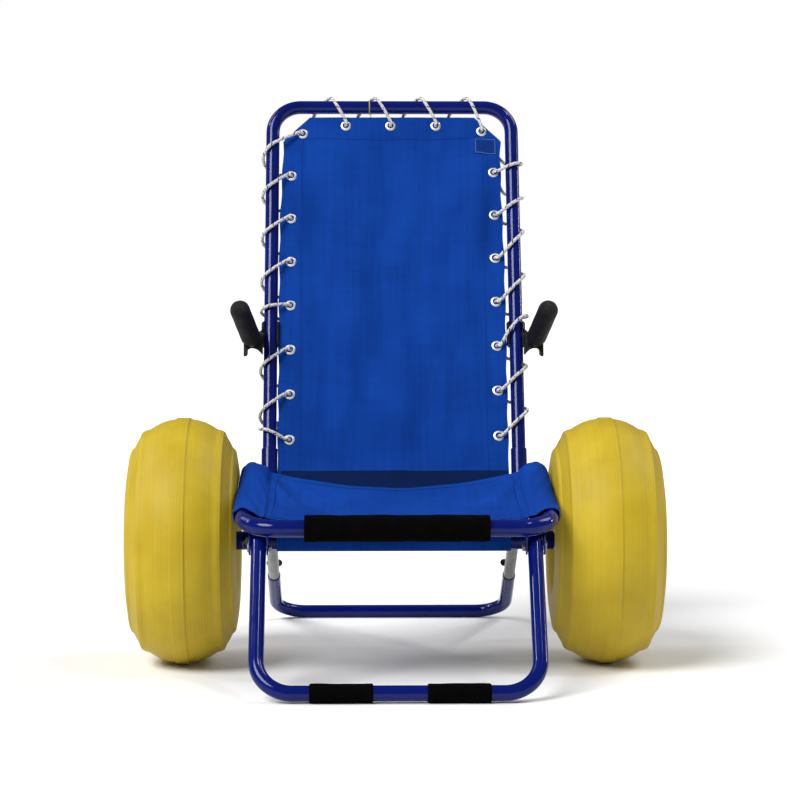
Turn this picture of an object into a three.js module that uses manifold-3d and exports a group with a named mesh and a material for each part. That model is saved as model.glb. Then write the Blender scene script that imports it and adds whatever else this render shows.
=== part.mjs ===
// A beach cart that also serves as a low chair. Two balloon wheels run on stub axles held in one axle
// tube. The reclined back frame stands on the axle tube and carries a laced fabric panel and two handles.
// The seat rail pivots on the back frame, with a fabric sling, a foam pad and a folding front leg hoop.
// A rear support hoop slides on two plated struts that pivot behind the back frame.
// Millimetres. +X is to the sitter's left, +Y to the rear, +Z up. While it is built, Y is 0 at the axle.
// In names, left and right are as seen from the front, so _left pieces are on the -X side.

import * as THREE from 'three';
import { mergeVertices } from 'three/addons/utils/BufferGeometryUtils.js';
import Module from 'manifold-3d';

const wasm = await Module();
wasm.setup();

// ---- driving dimensions -------------------------------------------------------------------------

const gap = 0.3; // left between neighbouring solids
const sides = [-1, 1];
const sideNames = { '-1': 'left', '1': 'right' };

const wheel = { radius: 210, halfWidth: 94, x: 360, boreRadius: 56, hubHalf: 48, facets: 28 };
const axle = { z: wheel.radius, diameter: 32, wall: 2.5, halfLength: 272 };
const stub = { shoulderRadius: 12.9, shaftRadius: 10, innerX: 196, outerX: 444 };
const linch = { x: 252, radius: 3, hole: 3.5, headY: -20, tailY: 22, ringRadius: 7.5, wireRadius: 0.9 };

const recline = THREE.MathUtils.degToRad(23.5);
const back = {
  x: 216, tube: 24, wall: 1.4, start: 22, top: 823, bend: 50,
  sleeve: 28, sleeveWall: 1.3, sleeveTop: 165,
};
const panel = { halfWidth: 197, top: 803, chamfer: 48, thickness: 2.4, pocketGap: 0.9 };
const eyelet = { inset: 15, pitch: 84, outerRadius: 9.5, holeRadius: 5.2, rimHeight: 0.9, boardRadius: 7 };
const lace = { radius: 2.9, wrap: 17.5, overClip: 21.5, hairpin: 7 };

const seatPivotAlong = 124;
const seat = {
  frontY: -262, frontZ: 258, tube: 28, wall: 1.6, bend: 58,
  rearX: 245.3, frontX: 251.5, rearEnd: 12,
};
const sling = { rearEdge: -46, pocketEnd: -258, frontEdge: -293, skin: 1.6, seamReach: 37, seamHeight: 12 };
const foam = { length: 300, diameter: 44, boreRadius: 14.8 };

const leg = {
  x: 224, tube: 25, wall: 1.5, pivotY: -248, pivotZ: 225, barY: -414, barZ: 15.5, bend: 58, topEnd: 11,
};
const footSleeve = { outerRadius: 15.5, boreRadius: 13.2, length: 100, centres: [-90, 95] };
const legLug = { thickness: 3, radius: 12, offset: 14.4 };

const rear = {
  x: 219, pivotAlong: 98, pivotBehind: 32, barY: 553, tube: 24, hoopWall: 0.95, bend: 58,
  hoopLeg: 182, strutRadius: 10.4, strutWall: 1.6, strutLap: 70, topEnd: 9, screwDrop: 12,
};
const rearLug = { thickness: 3, radius: 11, offset: 12.2, web: 4 };

const bolt = { radius: 4, hole: 4.4, headRadius: 7.5, headHeight: 2.6 };
const clip = { along: 379, height: 44, innerRadius: 12.7, outerRadius: 16.6, openHalfAngle: 50 };
const grip = {
  base: new THREE.Vector3(247, 121, 550), tip: new THREE.Vector3(269, 60, 601), radius: 17.3, neck: 14.5,
};

// ---- finishes -----------------------------------------------------------------------------------

const navyPaint = { color: 0x061c72, roughness: 0.16, metalness: 0.25 };
const blueCanvas = { color: 0x1c48a5, roughness: 0.85, metalness: 0 };
const yellowTyre = { color: 0xe1c841, roughness: 0.5, metalness: 0 };
const blackPlastic = { color: 0x141416, roughness: 0.5, metalness: 0 };
const blackFoam = { color: 0x0c0a0c, roughness: 0.95, metalness: 0 };
const zincPlate = { color: 0x9a9a98, roughness: 0.35, metalness: 0.9 };
const nickel = { color: 0xd2d0cc, roughness: 0.2, metalness: 1 };
const paleCord = { color: 0xd8d6cf, roughness: 0.9, metalness: 0 };

// ---- building tools -----------------------------------------------------------------------------

const cart = new THREE.Group();
const named = (side, name) => `${name}_${sideNames[side]}`;

function add(parent, name, geometry, finish) {
  const mesh = new THREE.Mesh(geometry, new THREE.MeshStandardMaterial(finish));
  mesh.name = name;
  parent.add(mesh);
  return mesh;
}

// A solid for cutting and joining, from a closed three.js geometry.
function solid(geometry) {
  const bare = geometry.clone();
  bare.deleteAttribute('normal');
  bare.deleteAttribute('uv');
  const merged = mergeVertices(bare, 1e-4);
  const mesh = new wasm.Mesh({
    numProp: 3,
    vertProperties: new Float32Array(merged.attributes.position.array),
    triVerts: new Uint32Array(merged.index.array),
  });
  return new wasm.Manifold(mesh);
}

function geometryOf(manifold) {
  const mesh = manifold.getMesh();
  const geometry = new THREE.BufferGeometry();
  geometry.setAttribute('position', new THREE.BufferAttribute(mesh.vertProperties, 3));
  geometry.setIndex(new THREE.BufferAttribute(mesh.triVerts, 1));
  geometry.computeVertexNormals();
  return geometry;
}

// A route whose stations are only where a tube needs them: the straight ends and along each bend.
class TubeRoute extends THREE.Curve {
  constructor(points, tangents) {
    super();
    this.points = points;
    this.tangents = tangents;
    this.steps = points.length - 1;
  }

  getPointAt(t) {
    return this.points[Math.round(t * this.steps)].clone();
  }

  getTangentAt(t) {
    return this.tangents[Math.round(t * this.steps)].clone();
  }
}

// Straight runs between the corners, with a round bend at each inner corner.
function bentRoute(corners, radius = 0, bendSteps = 4) {
  const last = corners.length - 1;
  const heading = (i) => corners[i + 1].clone().sub(corners[i]).normalize();
  const points = [corners[0]];
  const tangents = [heading(0)];
  for (let i = 1; i < last; i++) {
    const before = heading(i - 1);
    const turn = before.angleTo(heading(i));
    const axis = before.clone().cross(heading(i)).normalize();
    const start = corners[i].clone().addScaledVector(before, -radius * Math.tan(turn / 2));
    const centre = start.clone().addScaledVector(axis.clone().cross(before), radius);
    for (let k = 0; k <= bendSteps; k++) {
      const angle = (turn * k) / bendSteps;
      points.push(start.clone().sub(centre).applyAxisAngle(axis, angle).add(centre));
      tangents.push(before.clone().applyAxisAngle(axis, angle));
    }
  }
  points.push(corners[last]);
  tangents.push(heading(last - 1));
  return new TubeRoute(points, tangents);
}

// A round tube along a route; a wall of 0 makes a solid rod.
function tube(route, radius, wall = 0, facets = 12) {
  const section = new THREE.Shape();
  section.absarc(0, 0, radius, 0, 2 * Math.PI);
  if (wall > 0) {
    const bore = new THREE.Path();
    bore.absarc(0, 0, radius - wall, 0, 2 * Math.PI, true);
    section.holes.push(bore);
  }
  return new THREE.ExtrudeGeometry(section, {
    steps: route.steps,
    extrudePath: route,
    curveSegments: facets / 2,
  });
}

function straightTube(from, to, radius, wall = 0, facets = 10) {
  return tube(bentRoute([from, to]), radius, wall, facets);
}

// A turned piece about Y; its profile is ordered so that its faces point out.
function turned(points, facets) {
  const ordered = THREE.ShapeUtils.area(points) < 0 ? [...points].reverse() : points;
  return new THREE.LatheGeometry(ordered, facets);
}

// A round piece turned about X, from [x, radius] points; side -1 mirrors it.
function turnedAboutX(profile, facets, side = 1) {
  const geometry = turned(profile.map(([x, r]) => new THREE.Vector2(r, x * side)), facets);
  geometry.rotateZ(-Math.PI / 2);
  return geometry;
}

// A flat plate across X, from an outline in (y, z), between two X values.
function plateAcrossX(outline, xFrom, xTo) {
  const shape = new THREE.Shape(outline.map(([y, z]) => new THREE.Vector2(y, z)));
  const geometry = new THREE.ExtrudeGeometry(shape, { depth: xTo - xFrom, bevelEnabled: false });
  geometry.rotateY(Math.PI / 2);
  geometry.rotateX(Math.PI / 2);
  geometry.translate(xFrom, 0, 0);
  return geometry;
}

// An arc of points round a centre in (y, z), angles in degrees.
function arcPoints(centre, radius, from, to, count) {
  return Array.from({ length: count + 1 }, (_, i) => {
    const angle = THREE.MathUtils.degToRad(from + ((to - from) * i) / count);
    return [centre[0] + radius * Math.cos(angle), centre[1] + radius * Math.sin(angle)];
  });
}

function boxBetween(low, high) {
  const geometry = new THREE.BoxGeometry(high.x - low.x, high.y - low.y, high.z - low.z);
  geometry.translate((low.x + high.x) / 2, (low.y + high.y) / 2, (low.z + high.z) / 2);
  return geometry;
}

const at = (x, y, z) => new THREE.Vector3(x, y, z);

// A hole or bolt along X at (y, z), from one X value to another.
function barAlongX(xFrom, xTo, y, z, radius, facets = 10) {
  return straightTube(at(xFrom, y, z), at(xTo, y, z), radius, 0, facets);
}

function cut(geometry, ...tools) {
  return geometryOf(tools.reduce((body, tool) => body.subtract(solid(tool)), solid(geometry)));
}

function join(...pieces) {
  return geometryOf(pieces.slice(1).reduce((body, piece) => body.add(solid(piece)), solid(pieces[0])));
}

// ---- back frame: local Z runs up the back, local -Y faces the front --------------------------------

const backGroup = new THREE.Group();
backGroup.position.set(0, 0, axle.z);
backGroup.rotation.x = -recline;
cart.add(backGroup);

const backPoint = (along, behind = 0) => ({
  y: along * Math.sin(recline) + behind * Math.cos(recline),
  z: axle.z + along * Math.cos(recline) - behind * Math.sin(recline),
});

function makeAxleTube() {
  const body = straightTube(at(-axle.halfLength, 0, axle.z), at(axle.halfLength, 0, axle.z),
    axle.diameter / 2, axle.wall, 16);
  const holes = sides.map((side) =>
    straightTube(at(side * linch.x, -30, axle.z), at(side * linch.x, 30, axle.z), linch.hole));
  add(cart, 'axle_tube', cut(body, ...holes), navyPaint);
}

// A sleeve coped onto the axle tube, with a welded bracket behind it for the rear strut.
function makeSleeve(side) {
  const x = side * back.x;
  const radius = back.sleeve / 2;
  const body = straightTube(at(x, 0, 2), at(x, 0, back.sleeveTop), radius, back.sleeveWall, 16);
  const front = radius - 1;
  const strutX = side * rear.x;
  const web = boxBetween(
    at(strutX - rearLug.offset - rearLug.thickness / 2, front, rear.pivotAlong - 14),
    at(strutX + rearLug.offset + rearLug.thickness / 2, front + rearLug.web, rear.pivotAlong + 14),
  );
  const outline = [
    [front, rear.pivotAlong - 14],
    ...arcPoints([rear.pivotBehind, rear.pivotAlong], rearLug.radius, -90, 90, 8),
    [front, rear.pivotAlong + 14],
  ];
  const ears = [-1, 1].map((e) => {
    const middle = strutX + e * rearLug.offset;
    return plateAcrossX(outline, middle - rearLug.thickness / 2, middle + rearLug.thickness / 2);
  });
  const welded = join(body, web, ...ears);
  const shaped = cut(
    welded,
    barAlongX(x - 30, x + 30, 0, 0, axle.diameter / 2 + gap, 16),
    barAlongX(x, x + side * 30, 0, seatPivotAlong, bolt.hole),
    barAlongX(x - 30, x + 30, rear.pivotBehind, rear.pivotAlong, bolt.hole),
  );
  add(backGroup, named(side, 'back_sleeve'), shaped, navyPaint);
}

function makeBackHoop() {
  const corners = [
    at(-back.x, 0, back.start), at(-back.x, 0, back.top), at(back.x, 0, back.top), at(back.x, 0, back.start),
  ];
  const body = tube(bentRoute(corners, back.bend), back.tube / 2, back.wall);
  const holes = sides.map((side) =>
    barAlongX(side * back.x, side * (back.x + 20), 0, seatPivotAlong, bolt.hole));
  add(backGroup, 'back_hoop', cut(body, ...holes), navyPaint);
}

// Eyelet places in order along the lacing: up the right edge, across the top, down the left edge.
// reach is how far along its run the cord has gone when it is outside the tube, in millimetres. The turn
// beside the left handle is short, to stay above the clip. The one beside the right handle passes over it.
function eyeletPlaces() {
  const edgeX = panel.halfWidth - eyelet.inset;
  const column = (count, lowest) => Array.from({ length: count }, (_, i) => lowest + eyelet.pitch * i);
  const besideClip = (z) => Math.abs(z - clip.along + clip.height / 2) < 12;
  const aboveClip = (z) => Math.abs(z - clip.along - clip.height / 2) < 40;
  return [
    ...column(7, 189).map((z) => ({ x: edgeX, z, run: 'right', reach: 34, overClip: besideClip(z) })),
    ...[162, 79, -3, -84].map((x) => ({ x, z: x > 150 ? 775 : 786, run: 'top', reach: 34 })),
    { x: -162, z: 770, run: 'left', reach: 42 },
    ...column(7, 182).reverse().map((z) => ({ x: -edgeX, z, run: 'left', reach: aboveClip(z) ? 10 : 34 })),
  ];
}

function makeBackPanel() {
  const { halfWidth: w, top, chamfer, thickness: t } = panel;
  const outline = [
    [-w, 0], [w, 0], [w, top - chamfer], [w - chamfer, top], [chamfer - w, top], [-w, top - chamfer],
  ];
  const shape = new THREE.Shape(outline.map(([x, z]) => new THREE.Vector2(x, z)));
  const sheet = new THREE.ExtrudeGeometry(shape, { depth: t, bevelEnabled: false });
  sheet.rotateX(Math.PI / 2);
  sheet.translate(0, t / 2, 0);
  const pocketInner = axle.diameter / 2 + panel.pocketGap;
  const pocket = barAlongX(-w, w, 0, 0, pocketInner + t, 16);
  const holes = eyeletPlaces().map(({ x, z }) =>
    straightTube(at(x, -5, z), at(x, 5, z), eyelet.boardRadius, 0, 8));
  const body = cut(join(sheet, pocket), barAlongX(-w - 1, w + 1, 0, 0, pocketInner, 16), ...holes);
  add(backGroup, 'back_panel', body, blueCanvas);
}

function makeEyelets() {
  const face = -panel.thickness / 2 - gap;
  const barrel = eyelet.boardRadius - 1;
  const profile = [
    [face - eyelet.rimHeight, eyelet.holeRadius], [face - eyelet.rimHeight, eyelet.outerRadius - 1],
    [face, eyelet.outerRadius], [face, barrel], [-face, barrel], [-face, eyelet.holeRadius],
  ];
  const points = [...profile, profile[0]].map(([x, r]) => new THREE.Vector2(r, x));
  eyeletPlaces().forEach(({ x, z }, i) => {
    const ring = add(backGroup, `eyelet_${String(i + 1).padStart(2, '0')}`,
      turned(points, 8), nickel);
    ring.position.set(x, 0, z);
  });
}

// The lacing runs as one spiral: out of an eyelet, over the front of the tube, round its outside,
// behind it, and through the next eyelet from behind. The last turn climbs instead, clear of the sleeve.
function laceStations() {
  const places = eyeletPlaces();
  const stations = [];
  const outwardOf = { right: at(1, 0, 0), top: at(0, 0, 1), left: at(-1, 0, 0) };
  const onwardOf = { right: at(0, 0, 1), top: at(-1, 0, 0), left: at(0, 0, -1) };
  const barOf = (place) => (place.run === 'top' ? at(place.x, 0, back.top)
    : at(Math.sign(place.x) * back.x, 0, place.z));
  const hairpin = (place) => {
    const out = outwardOf[place.run];
    for (const degrees of [-90, -45, 0, 45, 90]) {
      const angle = THREE.MathUtils.degToRad(degrees);
      const inset = lace.hairpin * (1 - Math.cos(angle));
      stations.push(at(place.x, 0, place.z).addScaledVector(out, inset)
        .add(at(0, -lace.hairpin * Math.sin(angle), 0)));
    }
  };
  const wrap = (place, climb) => {
    const radius = place.overClip ? lace.overClip : lace.wrap;
    const turns = place.overClip
      ? [[135, 20], [90, 38], [45, 52], [-10, 57], [-65, 62], [-120, 67]]
      : [[100, 0.4], [45, 0.7], [-10, 1], [-65, 1.35], [-120, 1.7]];
    const scale = place.overClip ? 1 : place.reach;
    for (const [degrees, onward] of turns) {
      const angle = THREE.MathUtils.degToRad(degrees);
      stations.push(barOf(place)
        .addScaledVector(outwardOf[place.run], radius * Math.cos(angle))
        .addScaledVector(onwardOf[place.run], climb * onward * scale)
        .add(at(0, -radius * Math.sin(angle), 0)));
    }
  };
  const crossBehind = (place, next) => {
    const from = stations[stations.length - 1];
    const bend = from.clone().addScaledVector(outwardOf[place.run], -14).add(at(0, -4, 0));
    const to = at(next.x, lace.hairpin, next.z).addScaledVector(outwardOf[next.run], lace.hairpin);
    const curve = new THREE.QuadraticBezierCurve3(from, bend, to);
    stations.push(curve.getPoint(0.25), curve.getPoint(0.5), curve.getPoint(0.78));
  };
  places.forEach((place, i) => {
    const isLast = i === places.length - 1;
    hairpin(place);
    wrap(place, isLast ? -0.5 : 1);
    if (!isLast) crossBehind(place, places[i + 1]);
  });
  return stations;
}

function makeLacing() {
  const points = laceStations();
  const tangents = points.map((_, i) => {
    const before = points[Math.max(i - 1, 0)];
    const after = points[Math.min(i + 1, points.length - 1)];
    return after.clone().sub(before).normalize();
  });
  add(backGroup, 'lacing_cord', tube(new TubeRoute(points, tangents), lace.radius, 0, 6), paleCord);
}

// ---- wheels ---------------------------------------------------------------------------------------

// The stub axle's thick inner end sits in the axle tube, held by the linch pin.
function makeStub(side) {
  const shoulderEnd = axle.halfLength + 1;
  const profile = [
    [stub.innerX, 0], [stub.innerX, stub.shoulderRadius], [shoulderEnd, stub.shoulderRadius],
    [shoulderEnd, stub.shaftRadius], [stub.outerX, stub.shaftRadius], [stub.outerX, 0],
  ];
  const body = turnedAboutX(profile, 24, side);
  body.translate(0, 0, axle.z);
  const hole = straightTube(at(side * linch.x, -30, axle.z), at(side * linch.x, 30, axle.z), linch.hole);
  add(cart, named(side, 'stub_axle'), cut(body, hole), zincPlate);
}

// The tyre is a shell open at its bore. Its tread has a raised middle band and two stepped shoulders.
function makeTyre(side) {
  const { radius: r, halfWidth: w, boreRadius: b } = wheel;
  const outer = [
    [50, b], [80, b + 17], [w, 110], [w - 8, 148], [w - 28, 187], [42, r - 6], [13, r - 2], [12, r],
  ];
  const inner = [[44, b], [76, b + 24], [w - 4, 110], [w - 18, 157], [38, r - 11]];
  const mirrored = (list) => list.map(([x, radius]) => [-x, radius]);
  const ring = [...outer, ...mirrored(outer).reverse(), ...mirrored(inner), ...inner.reverse()];
  const tyre = add(cart, named(side, 'tyre'), turnedAboutX([...ring, ring[0]], wheel.facets), yellowTyre);
  tyre.position.set(side * wheel.x, 0, axle.z);
}

// The hub carries the tyre's beads on a rim and turns on the stub axle. Its profile is for the right side.
function makeHub(side) {
  const rim = wheel.boreRadius - 1;
  const boreRadius = stub.shaftRadius + 0.6;
  const boss = 19;
  const endPlay = 0.8;
  const web = 5;
  const rimWall = 5;
  const rimHalf = wheel.hubHalf;
  const inner = axle.halfLength + 1 + endPlay - wheel.x;
  const outerEnd = stub.outerX - wheel.x - endPlay;
  const profile = [
    [inner, boreRadius], [inner, boss], [-web, boss], [-web, rim - rimWall], [-rimHalf, rim - rimWall],
    [-rimHalf, rim], [rimHalf, rim], [rimHalf, rim - rimWall], [web, rim - rimWall], [web, boss],
    [outerEnd, boss], [outerEnd, boreRadius],
  ];
  const hub = add(cart, named(side, 'hub'), turnedAboutX([...profile, profile[0]], 18, side), blackPlastic);
  hub.position.set(side * wheel.x, 0, axle.z);
}

function makeHubCap(side) {
  const from = stub.outerX + gap;
  const profile = [[from, 0], [from, 16], [from + 3, 16], [from + 5, 12], [from + 5, 0]];
  const cap = add(cart, named(side, 'hub_cap'), turnedAboutX(profile, 20, side), blackPlastic);
  cap.position.z = axle.z;
}

// The linch pin crosses the axle tube from the front. Its flat head holds a wire ring.
function makeLinchPin(side) {
  const x = side * linch.x;
  const eyeY = linch.headY - 6;
  const eyeZ = axle.z + 3;
  const shank = straightTube(at(x, linch.headY + 1, axle.z), at(x, linch.tailY, axle.z), linch.radius);
  const collar = straightTube(at(x, linch.headY - 1, axle.z), at(x, linch.headY + 2, axle.z), 5.5);
  const tab = boxBetween(at(x - 1.5, linch.headY - 11, axle.z - 3), at(x + 1.5, linch.headY, axle.z + 8));
  const eye = barAlongX(x - 4, x + 4, eyeY, eyeZ, 1.7);
  add(cart, named(side, 'linch_pin'), cut(join(shank, collar, tab), eye), zincPlate);
  const ring = new THREE.TorusGeometry(linch.ringRadius, linch.wireRadius, 5, 14);
  ring.rotateX(Math.PI / 2);
  const loop = add(cart, named(side, 'pin_ring'), ring, zincPlate);
  loop.position.set(x, eyeY, eyeZ - linch.ringRadius);
}

// ---- seat: local -Y runs from the pivot along the rail to the front -------------------------------

const seatPivot = backPoint(seatPivotAlong);
const railRun = Math.hypot(seat.frontY - seatPivot.y, seat.frontZ - seatPivot.z);
const seatGroup = new THREE.Group();
seatGroup.position.set(0, seatPivot.y, seatPivot.z);
seatGroup.rotation.x = Math.atan2(seatPivot.z - seat.frontZ, seatPivot.y - seat.frontY);
cart.add(seatGroup);

// A point of the build space in the seat's own frame.
function inSeat(x, y, z) {
  seatGroup.updateMatrixWorld(true);
  return seatGroup.worldToLocal(at(x, y, z));
}

// The rail is one bent tube, with two pairs of welded lugs under its front bends for the leg hoop.
function makeSeatRail() {
  const corners = [
    at(-seat.rearX, seat.rearEnd, 0), at(-seat.frontX, -railRun, 0),
    at(seat.frontX, -railRun, 0), at(seat.rearX, seat.rearEnd, 0),
  ];
  const body = tube(bentRoute(corners, seat.bend), seat.tube / 2, seat.wall);
  const pivot = inSeat(0, leg.pivotY, leg.pivotZ);
  const lugs = [];
  const holes = [];
  for (const side of sides) {
    for (const e of [-1, 1]) {
      const middle = side * leg.x + e * legLug.offset;
      const arcOffset = Math.max(Math.abs(middle) - (seat.frontX - seat.bend), 0);
      const railY = -railRun + seat.bend - Math.sqrt(seat.bend ** 2 - arcOffset ** 2);
      const outline = [
        ...arcPoints([pivot.y, pivot.z], legLug.radius, 180, 360, 8), [railY + 13, -13.2], [railY - 4, -13.2],
      ];
      lugs.push(plateAcrossX(outline, middle - legLug.thickness / 2, middle + legLug.thickness / 2));
    }
    holes.push(barAlongX(side * leg.x - 20, side * leg.x + 20, pivot.y, pivot.z, bolt.hole));
    holes.push(barAlongX(side * seat.rearX - 20, side * seat.rearX + 20, 0, 0, bolt.hole));
  }
  add(seatGroup, 'seat_rail', cut(join(body, ...lugs), ...holes), navyPaint);
}

// A lofted solid through sections of equal point count, closed by flat ends.
function loft(sections) {
  const count = sections[0].length;
  const positions = sections.flat().flatMap((p) => [p.x, p.y, p.z]);
  const index = [];
  for (let s = 0; s < sections.length - 1; s++) {
    for (let i = 0; i < count; i++) {
      const a = s * count + i;
      const b = s * count + ((i + 1) % count);
      index.push(a, b, b + count, a, b + count, a + count);
    }
  }
  const flat = sections[0].map((p) => new THREE.Vector2(p.x, p.z));
  const faces = THREE.ShapeUtils.triangulateShape(flat, []);
  const endBase = (sections.length - 1) * count;
  const outward = THREE.ShapeUtils.area(flat) > 0 ? 1 : -1;
  for (const [a, b, c] of faces) {
    if (outward > 0) index.push(a, c, b, endBase + a, endBase + b, endBase + c);
    else index.push(a, b, c, endBase + a, endBase + c, endBase + b);
  }
  const geometry = new THREE.BufferGeometry();
  geometry.setAttribute('position', new THREE.Float32BufferAttribute(positions, 3));
  geometry.setIndex(index);
  const body = solid(geometry);
  if (body.volume() >= 0) return geometry;
  for (let i = 0; i < index.length; i += 3) [index[i + 1], index[i + 2]] = [index[i + 2], index[i + 1]];
  geometry.setIndex(index);
  return geometry;
}

const railXAt = (y) => seat.rearX + ((seat.frontX - seat.rearX) * -y) / railRun;

// The outline of a loose pocket round a side rail: snug outside, arched on top, drawn in to a seam.
function pocketSection(side, y, inset) {
  const radius = seat.tube / 2 + 0.8 + sling.skin - inset;
  const round = [-120, -90, -60, -30, 0, 30].map((degrees) => {
    const angle = THREE.MathUtils.degToRad(degrees);
    return [radius * Math.cos(angle), radius * Math.sin(angle)];
  });
  const arch = [[10, 16], [1, 19.5], [-9, 19.5], [-22, 16.5]].map(([x, z]) => [x, z - inset]);
  const seam = [[-sling.seamReach + 2 * inset, sling.seamHeight], [-22, 1 + inset]];
  return [...round, ...arch, ...seam].map(([x, z]) => at(side * (railXAt(y) + x), y, z));
}

// The slung seat sheet between the seams. It sags to a flat middle, where a load rests.
function seatSections() {
  const across = [-1, -0.75, -0.5, -0.2, 0.2, 0.5, 0.75, 1];
  const stations = [
    { y: sling.rearEdge, sag: 25 }, { y: -110, sag: 28 }, { y: -180, sag: 28 }, { y: -258, sag: 18 },
  ];
  return stations.map(({ y, sag }) => {
    const half = railXAt(y) - sling.seamReach + 2;
    const height = (u) => sling.seamHeight - 1 - sag * (1 - u * u);
    const upper = across.map((u) => at(u * half, y, height(u) + sling.skin / 2));
    const lower = [...across].reverse().map((u) => at(u * half, y, height(u) - sling.skin / 2));
    return [...upper, ...lower];
  });
}

function makeSling() {
  const stations = [sling.rearEdge, -150, sling.pocketEnd];
  const pockets = sides.flatMap((side) => {
    const outer = loft(stations.map((y) => pocketSection(side, y, 0)));
    const innerStations = [sling.rearEdge + 2, -150, sling.pocketEnd - 2];
    const inner = loft(innerStations.map((y) => pocketSection(side, y, sling.skin)));
    return [cut(outer, inner)];
  });
  const sections = seatSections();
  const front = sections[sections.length - 1].map((p) => at(p.x * 0.88, sling.frontEdge, p.z + 1));
  add(seatGroup, 'seat_sling', join(loft([...sections, front]), ...pockets), blueCanvas);
}

function makeFoamPad() {
  const half = foam.length / 2;
  const body = straightTube(at(-half, -railRun, 0), at(half, -railRun, 0), foam.diameter / 2,
    foam.diameter / 2 - foam.boreRadius, 16);
  add(seatGroup, 'foam_pad', body, blackFoam);
}

function makeRailEndCap(side) {
  const slope = Math.atan2(seat.frontX - seat.rearX, railRun + seat.rearEnd);
  const plug = seat.tube / 2 - seat.wall - 1;
  const profile = [
    [0, -4], [plug, -4], [plug, 0.4], [14, 0.4], [13, 3], [8, 5], [0, 5.6],
  ].map(([r, y]) => new THREE.Vector2(r, y));
  const cap = add(seatGroup, named(side, 'rail_end_cap'), turned(profile, 14), blackPlastic);
  cap.position.set(side * seat.rearX, seat.rearEnd, 0);
  cap.rotation.z = side * slope;
}

// The bolt runs from inside the back hoop out through the sleeve and the rail.
function makeSeatBolt(side) {
  const face = seat.rearX + seat.tube / 2 + 2 * gap;
  const shank = barAlongX(side * (back.x - 5), side * (face + gap), 0, 0, bolt.radius);
  const head = barAlongX(side * face, side * (face + bolt.headHeight), 0, 0, bolt.headRadius);
  add(seatGroup, named(side, 'seat_pivot_bolt'), join(shank, head), zincPlate);
}

// ---- front leg hoop: local -Z runs down the legs ----------------------------------------------------

const legGroup = new THREE.Group();
const legRun = Math.hypot(leg.barY - leg.pivotY, leg.pivotZ - leg.barZ);
legGroup.position.set(0, leg.pivotY, leg.pivotZ);
legGroup.rotation.x = Math.atan2(leg.barY - leg.pivotY, leg.pivotZ - leg.barZ);
cart.add(legGroup);

function makeLegHoop() {
  const corners = [
    at(-leg.x, 0, leg.topEnd), at(-leg.x, 0, -legRun), at(leg.x, 0, -legRun), at(leg.x, 0, leg.topEnd),
  ];
  const body = tube(bentRoute(corners, leg.bend), leg.tube / 2, leg.wall);
  const holes = sides.map((side) => barAlongX(side * leg.x - 20, side * leg.x + 20, 0, 0, bolt.hole));
  add(legGroup, 'front_leg_hoop', cut(body, ...holes), navyPaint);
}

function makeFootSleeves() {
  footSleeve.centres.forEach((x, i) => {
    const half = footSleeve.length / 2;
    const body = straightTube(at(x - half, 0, -legRun), at(x + half, 0, -legRun), footSleeve.outerRadius,
      footSleeve.outerRadius - footSleeve.boreRadius, 16);
    add(legGroup, `foot_sleeve_${i + 1}`, body, blackFoam);
  });
}

function makeLegBolt(side) {
  const reach = legLug.offset + legLug.thickness / 2 + gap;
  const shank = barAlongX(side * (leg.x - reach - 4), side * (leg.x + reach), 0, 0, bolt.radius);
  const outside = leg.x + reach;
  const head = barAlongX(side * outside, side * (outside + bolt.headHeight), 0, 0, bolt.headRadius);
  const nut = barAlongX(side * (leg.x - reach - 5), side * (leg.x - reach), 0, 0, bolt.headRadius - 1, 6);
  add(legGroup, named(side, 'leg_pivot_bolt'), join(shank, head, nut), zincPlate);
}

// ---- rear support: local -Z runs down the struts, local +Y is their upper side ----------------------

const rearPivot = backPoint(rear.pivotAlong, rear.pivotBehind);
const rearBarZ = rear.tube / 2;
const rearGroup = new THREE.Group();
const rearRun = Math.hypot(rear.barY - rearPivot.y, rearPivot.z - rearBarZ);
rearGroup.position.set(0, rearPivot.y, rearPivot.z);
rearGroup.rotation.x = Math.atan2(rear.barY - rearPivot.y, rearPivot.z - rearBarZ);
cart.add(rearGroup);

function makeStrut(side) {
  const x = side * rear.x;
  const end = -(rearRun - rear.hoopLeg + rear.strutLap);
  const body = straightTube(at(x, 0, rear.topEnd), at(x, 0, end), rear.strutRadius, rear.strutWall);
  add(rearGroup, named(side, 'rear_strut'), cut(body, barAlongX(x - 20, x + 20, 0, 0, bolt.hole)), zincPlate);
}

function makeRearHoop() {
  const top = -(rearRun - rear.hoopLeg);
  const corners = [
    at(-rear.x, 0, top), at(-rear.x, 0, -rearRun), at(rear.x, 0, -rearRun), at(rear.x, 0, top),
  ];
  const body = tube(bentRoute(corners, rear.bend), rear.tube / 2, rear.hoopWall);
  const screwAt = top - rear.screwDrop;
  const bosses = sides.map((side) => straightTube(
    at(side * rear.x, rear.tube / 2 - 0.8, screwAt), at(side * rear.x, rear.tube / 2 + 5, screwAt), 7, 3.6));
  add(rearGroup, 'rear_hoop', join(body, ...bosses), navyPaint);
}

// A black wing screw that clamps the hoop on its strut.
function makeLockScrew(side) {
  const top = -(rearRun - rear.hoopLeg) - rear.screwDrop;
  const x = side * rear.x;
  const start = rear.tube / 2 + gap;
  const stem = straightTube(at(x, start, top), at(x, start + 12, top), 3, 0, 8);
  const cone = straightTube(at(x, start + 6, top), at(x, start + 15, top), 6, 0, 10);
  const wings = [-1, 1].map((w) => {
    const wing = new THREE.CylinderGeometry(7, 7, 4.4, 12);
    wing.rotateX(Math.PI / 2);
    wing.translate(x + w * 8, start + 17, top);
    return wing;
  });
  add(rearGroup, named(side, 'lock_screw'), join(stem, cone, ...wings), blackPlastic);
}

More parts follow.
